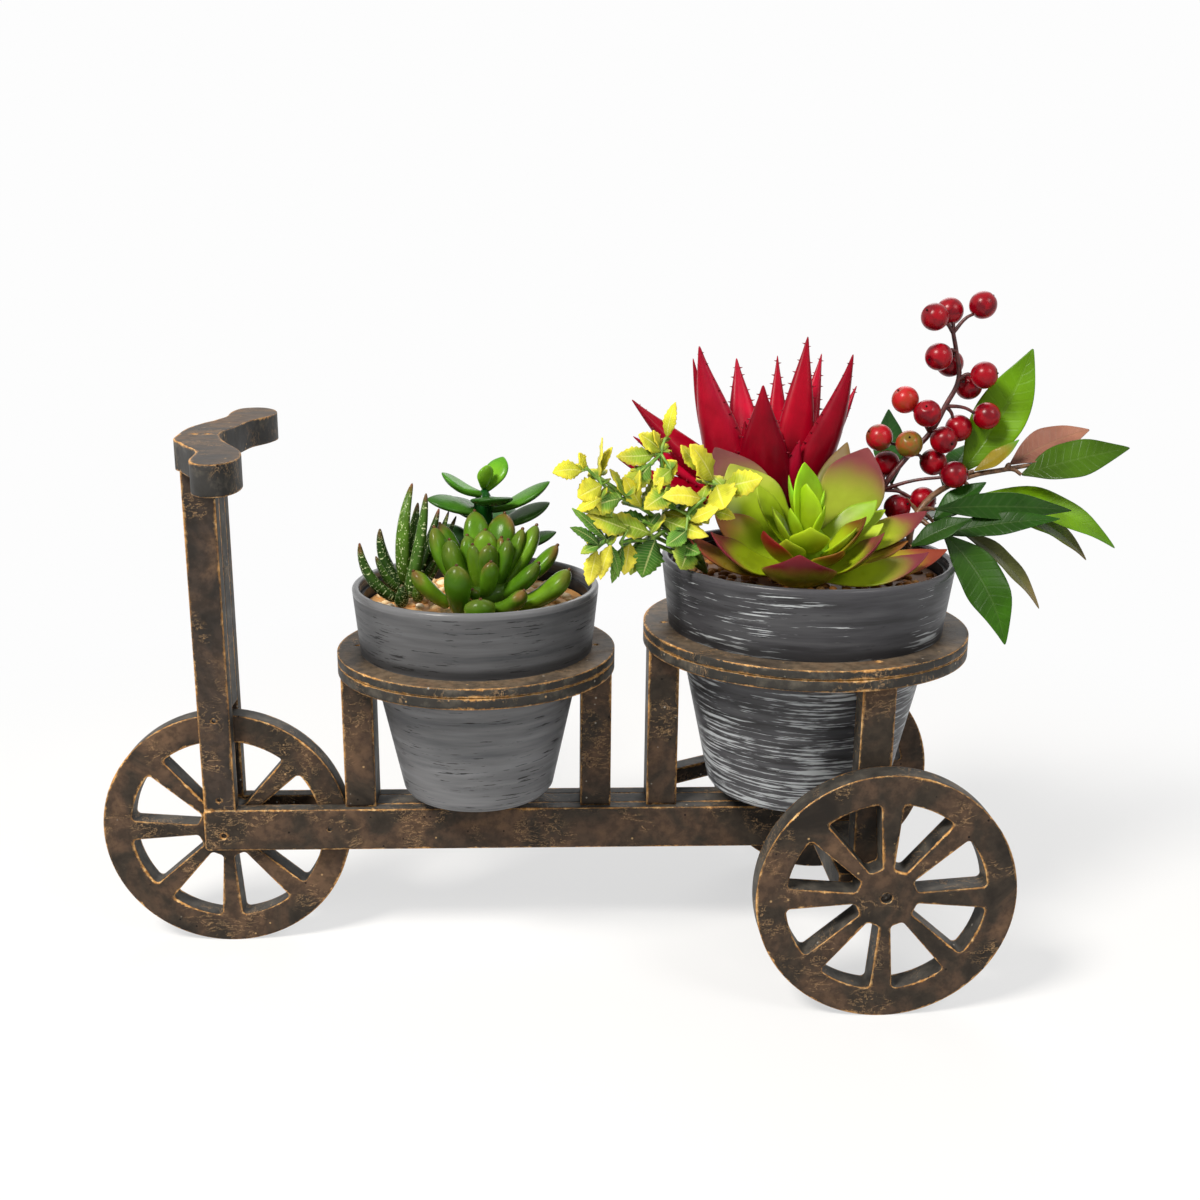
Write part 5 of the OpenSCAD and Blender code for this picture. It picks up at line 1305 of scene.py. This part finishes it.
class GrowSpray(bpy.types.Operator):
    """Models the spray of long veined leaves at the right of the large pot"""
    bl_idname = "planter.grow_spray"
    bl_label = "Leaf Spray"

    def execute(self, context):
        blank = blade_blank([0.06, 0.3, 0.58, 0.8, 0.94, 1.0, 0.97, 0.88, 0.72, 0.5, 0.27, 0.03], 6, 0.035,
                            smoothing=1)
        green = "#295812"
        dark = "#16380e"
        # Each leaf: foot, tip, width, bow, roll, fold, body and tip colours
        leaves = [
            ((27, 16, 42), (56, 20, 97), 24, 0.08, 62, 0.12, "#5c840c", "#4c760a"),
            ((30, 8, 44), (47, 2, 59), 8, 0.1, 50, 0.3, "#8a7a24", "#4a8a2c"),
            ((46, 8, 47), (82, 12, 62), 16, -0.08, 50, 0.2, "#83584a", "#936552"),
            ((50, 4, 43), (95, -2, 56), 19, -0.03, 52, 0.14, "#3c5c0c", "#2e4c08"),
            ((10, -4, 29), (68, -12, 30), 14, -0.05, 52, 0.14, "#1c3e08", "#183406"),
            ((12, -6, 18), (60, -20, 28), 12, -0.05, 50, 0.14, "#1c3c08", "#224c0a"),
            ((32, 10, 32), (95, 2, 10), 17, -0.2, 46, 0.2, "#66900e", "#4a780e"),
            ((37, 8, 27), (85, 8, 3), 15, -0.22, 40, 0.2, "#56721c", "#705a2c"),
            ((13, -9, 19), (38, -28, -26), 22, -0.18, 38, 0.14, "#284c08", "#34620c"),
            ((22, -2, 19), (60, -6, -16), 13, -0.16, 34, 0.2, "#5a5e30", "#72623f"),
            ((-2, -12, 14), (22, -20, 28), 12, -0.05, 40, 0.2, "#264614", "#1a380e"),
            ((-1, 30, 34), (-3, 36, 68), 18, 0.06, 0, 0.14, "#33602e", "#284c26"),
            ((20, 18, 34), (38, 40, 52), 15, -0.1, 0, 0.14, green, dark),
            ((8, 16, 18), (30, 42, 20), 15, -0.14, 0, 0.14, dark, green),
            ((12, 4, 22), (34, 2, 40), 13, -0.05, 40, 0.14, "#264e14", dark),
        ]
        grown = [grow(blank, SPRAY_FOOT, foot, tip, width, 16, bow, roll, 0.0, fold, 0.08, body, end)
                 for foot, tip, width, bow, roll, fold, body, end in leaves]
        drop(blank)
        cloth = moulded_leaf("printed polyester cloth, laurel", 0.3, 0.55, 1.1, 0.1, 14, veins=0.05,
                             soft=0.0)
        finish(gather(grown), "laurel_leaves", cloth, "leaf_spray", LARGE_POT)
        # Each twig: its points and the radius at each; every leaf then gets a stalk from the nearest one
        twigs = [[(0, 0, 1, 1.7), (5, 4, 26, 1.5), (25, 9, 40, 1.3), (44, 7, 45, 1.1), (67, 6, 49, 0.8)],
                 [(5, 4, 24, 1.3), (10, -2, 20, 1.1), (13, -6, 17, 1.0)]]
        main = [(0, 0, 1), (5, 4, 26), (25, 9, 40), (44, 7, 45), (13, -6, 17)]
        for foot, *_ in leaves:
            start = min(main, key=lambda point: (Vector(point) - Vector(foot)).length)
            reach = (Vector(start) + Vector(foot)) / 2 + Vector((0, 0, 1))
            twigs.append([(*start, 1.0), (*reach, 0.9), (*foot, 0.8)])
        bark = wrapped_stem("paper wrapped wire, brown", "#4a3222", "#7d5a3c")
        branch = stems("laurel_twigs", SPRAY_FOOT, twigs)
        finish(branch, "laurel_twigs", bark, "leaf_spray", LARGE_POT)
        return {"FINISHED"}


# Camera, floor and light


PLAIN_WHITE = "#fdfdfd"


class SetStage(bpy.types.Operator):
    """Sets the camera, the pale floor, the soft lamps and the white world"""
    bl_idname = "planter.set_stage"
    bl_label = "Stage"

    def execute(self, context):
        # The camera stands as the photograph's did: a little left of square on, and it looks down by
        # 15 degrees
        eye = bpy.data.cameras.new("camera")
        eye.lens, eye.sensor_width = 40.5, 36.0
        camera = bpy.data.objects.new("camera", eye)
        context.scene.collection.objects.link(camera)
        yaw, pitch, roll = (math.radians(turn) for turn in (2.4007, 14.9714, 0.5157))
        ahead = Vector((math.sin(yaw) * math.cos(pitch), math.cos(yaw) * math.cos(pitch), -math.sin(pitch)))
        right = ahead.cross(Vector((0, 0, 1))).normalized()
        up = right.cross(ahead)
        level, plumb = right, up
        right = level * math.cos(roll) + plumb * math.sin(roll)
        up = plumb * math.cos(roll) - level * math.sin(roll)
        turn = Matrix((right, up, -ahead)).transposed().to_4x4()
        camera.matrix_world = Matrix.Translation((-0.029107, -0.586363, 0.320341)) @ turn
        context.scene.camera = camera
        context.scene.view_settings.view_transform = "Standard"

        # A pale floor, wide enough that its edges lie far outside every view's foreground
        deselect()
        bpy.ops.mesh.primitive_plane_add(size=8, location=(0, 0, 0))
        floor = context.object
        floor.name = "studio_floor"
        floor.data.materials.append(self.floor_finish())

        # Each lamp: name, place, size, watts and tone
        for name, place, size, power, tone in (
                ("key", (-0.8, -0.8, 1.4), 0.5, 36.0, "#fffaf2"),
                ("fill", (0.9, -0.9, 1.2), 0.6, 7.5, "#fffcf8"),
                ("rear", (0.3, 1.2, 1.1), 1.0, 6.0, "#ffffff")):
            lamp = bpy.data.lights.new(name, "AREA")
            lamp.shape, lamp.size, lamp.energy = "DISK", size, power
            lamp.color = linear(tone)[:3]
            holder = bpy.data.objects.new(name, lamp)
            context.scene.collection.objects.link(holder)
            aim = Vector((0, 0, 0.12)) - Vector(place)
            turn = aim.to_track_quat("-Z", "Y").to_matrix().to_4x4()
            holder.matrix_world = Matrix.Translation(place) @ turn
        self.white_world(context)
        return {"FINISHED"}

    def floor_finish(self):
        """Matt white paper: part of it is plain white to the camera, so that its shadow stays faint."""
        material, tree, shader = start_material("matt white paper", Roughness=1.0, Specular_IOR_Level=0.0)
        fill(tree, shader, {"Base Color": "#ececec"})
        # Away from the planter the paper runs out to plain white, so that it shows no horizon
        place = add(tree, "TexCoord").outputs["Object"]
        away = add(tree, "VectorMath", {0: place}, operation="LENGTH")
        plain = add(tree, "MapRange", {0: away.outputs["Value"], LOW: 0.25, HIGH: 0.6, TO_LOW: 0.62,
                                       TO_HIGH: 1.0}, interpolation_type="SMOOTHSTEP")
        share = add(tree, "Math", {0: seen_by_camera(tree), 1: plain}, operation="MULTIPLY")
        white = add(tree, "Emission", {"Color": PLAIN_WHITE, "Strength": 1.0})
        mixed = add(tree, "MixShader", {0: share, 1: shader, 2: white})
        out = tree.nodes["Material Output"]
        tree.links.new(mixed.outputs[0], out.inputs["Surface"])
        return material

    def white_world(self, context):
        """The soft light of a white room, which is plain white where the camera looks past the floor."""
        world = bpy.data.worlds.new("white room")
        world.use_nodes = True
        context.scene.world = world
        tree = world.node_tree
        out = tree.nodes["World Output"]
        room = tree.nodes["Background"]
        fill(tree, room, {"Color": "#fbfaf6", "Strength": 0.25})
        plain = add(tree, "Background", {"Color": PLAIN_WHITE, "Strength": 1.0})
        mixed = add(tree, "MixShader", {0: seen_by_camera(tree), 1: room, 2: plain})
        tree.links.new(mixed.outputs[0], out.inputs["Surface"])


PIECES = (DressBoards, SawHandlebar, DressPots, LayPebbles, GrowHaworthia, GrowJade, GrowFingerRosette,
          GrowAloe, GrowEcheveria, GrowSprig, GrowBerries, GrowSpray, SetStage)


class PlanterPanel(bpy.types.Panel):
    """Lists the planter's sizes, colours and pieces"""
    bl_idname = "VIEW3D_PT_planter"
    bl_label = "Tricycle Planter"
    bl_space_type = "VIEW_3D"
    bl_region_type = "UI"
    bl_category = "Planter"

    def draw(self, context):
        for group in (context.scene.planter_sizes, context.scene.planter_colours):
            box = self.layout.box()
            for name in group.__annotations__:
                box.prop(group, name)
        for piece in PIECES:
            self.layout.operator(piece.bl_idname)


CLASSES = (PlanterSizes, PlanterColours) + PIECES + (PlanterPanel,)


def register():
    """Registers the classes and hangs the sizes and colours on the scene."""
    for made in CLASSES:
        bpy.utils.register_class(made)
    bpy.types.Scene.planter_sizes = bpy.props.PointerProperty(type=PlanterSizes)
    bpy.types.Scene.planter_colours = bpy.props.PointerProperty(type=PlanterColours)


def unregister():
    """Takes back what register added."""
    del bpy.types.Scene.planter_sizes
    del bpy.types.Scene.planter_colours
    for made in reversed(CLASSES):
        bpy.utils.unregister_class(made)


def main():
    """Makes every piece in order."""
    register()
    for piece in PIECES:
        group, name = piece.bl_idname.split(".")
        getattr(getattr(bpy.ops, group), name)()
    deselect()
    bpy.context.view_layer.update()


if __name__ == "__main__":
    main()
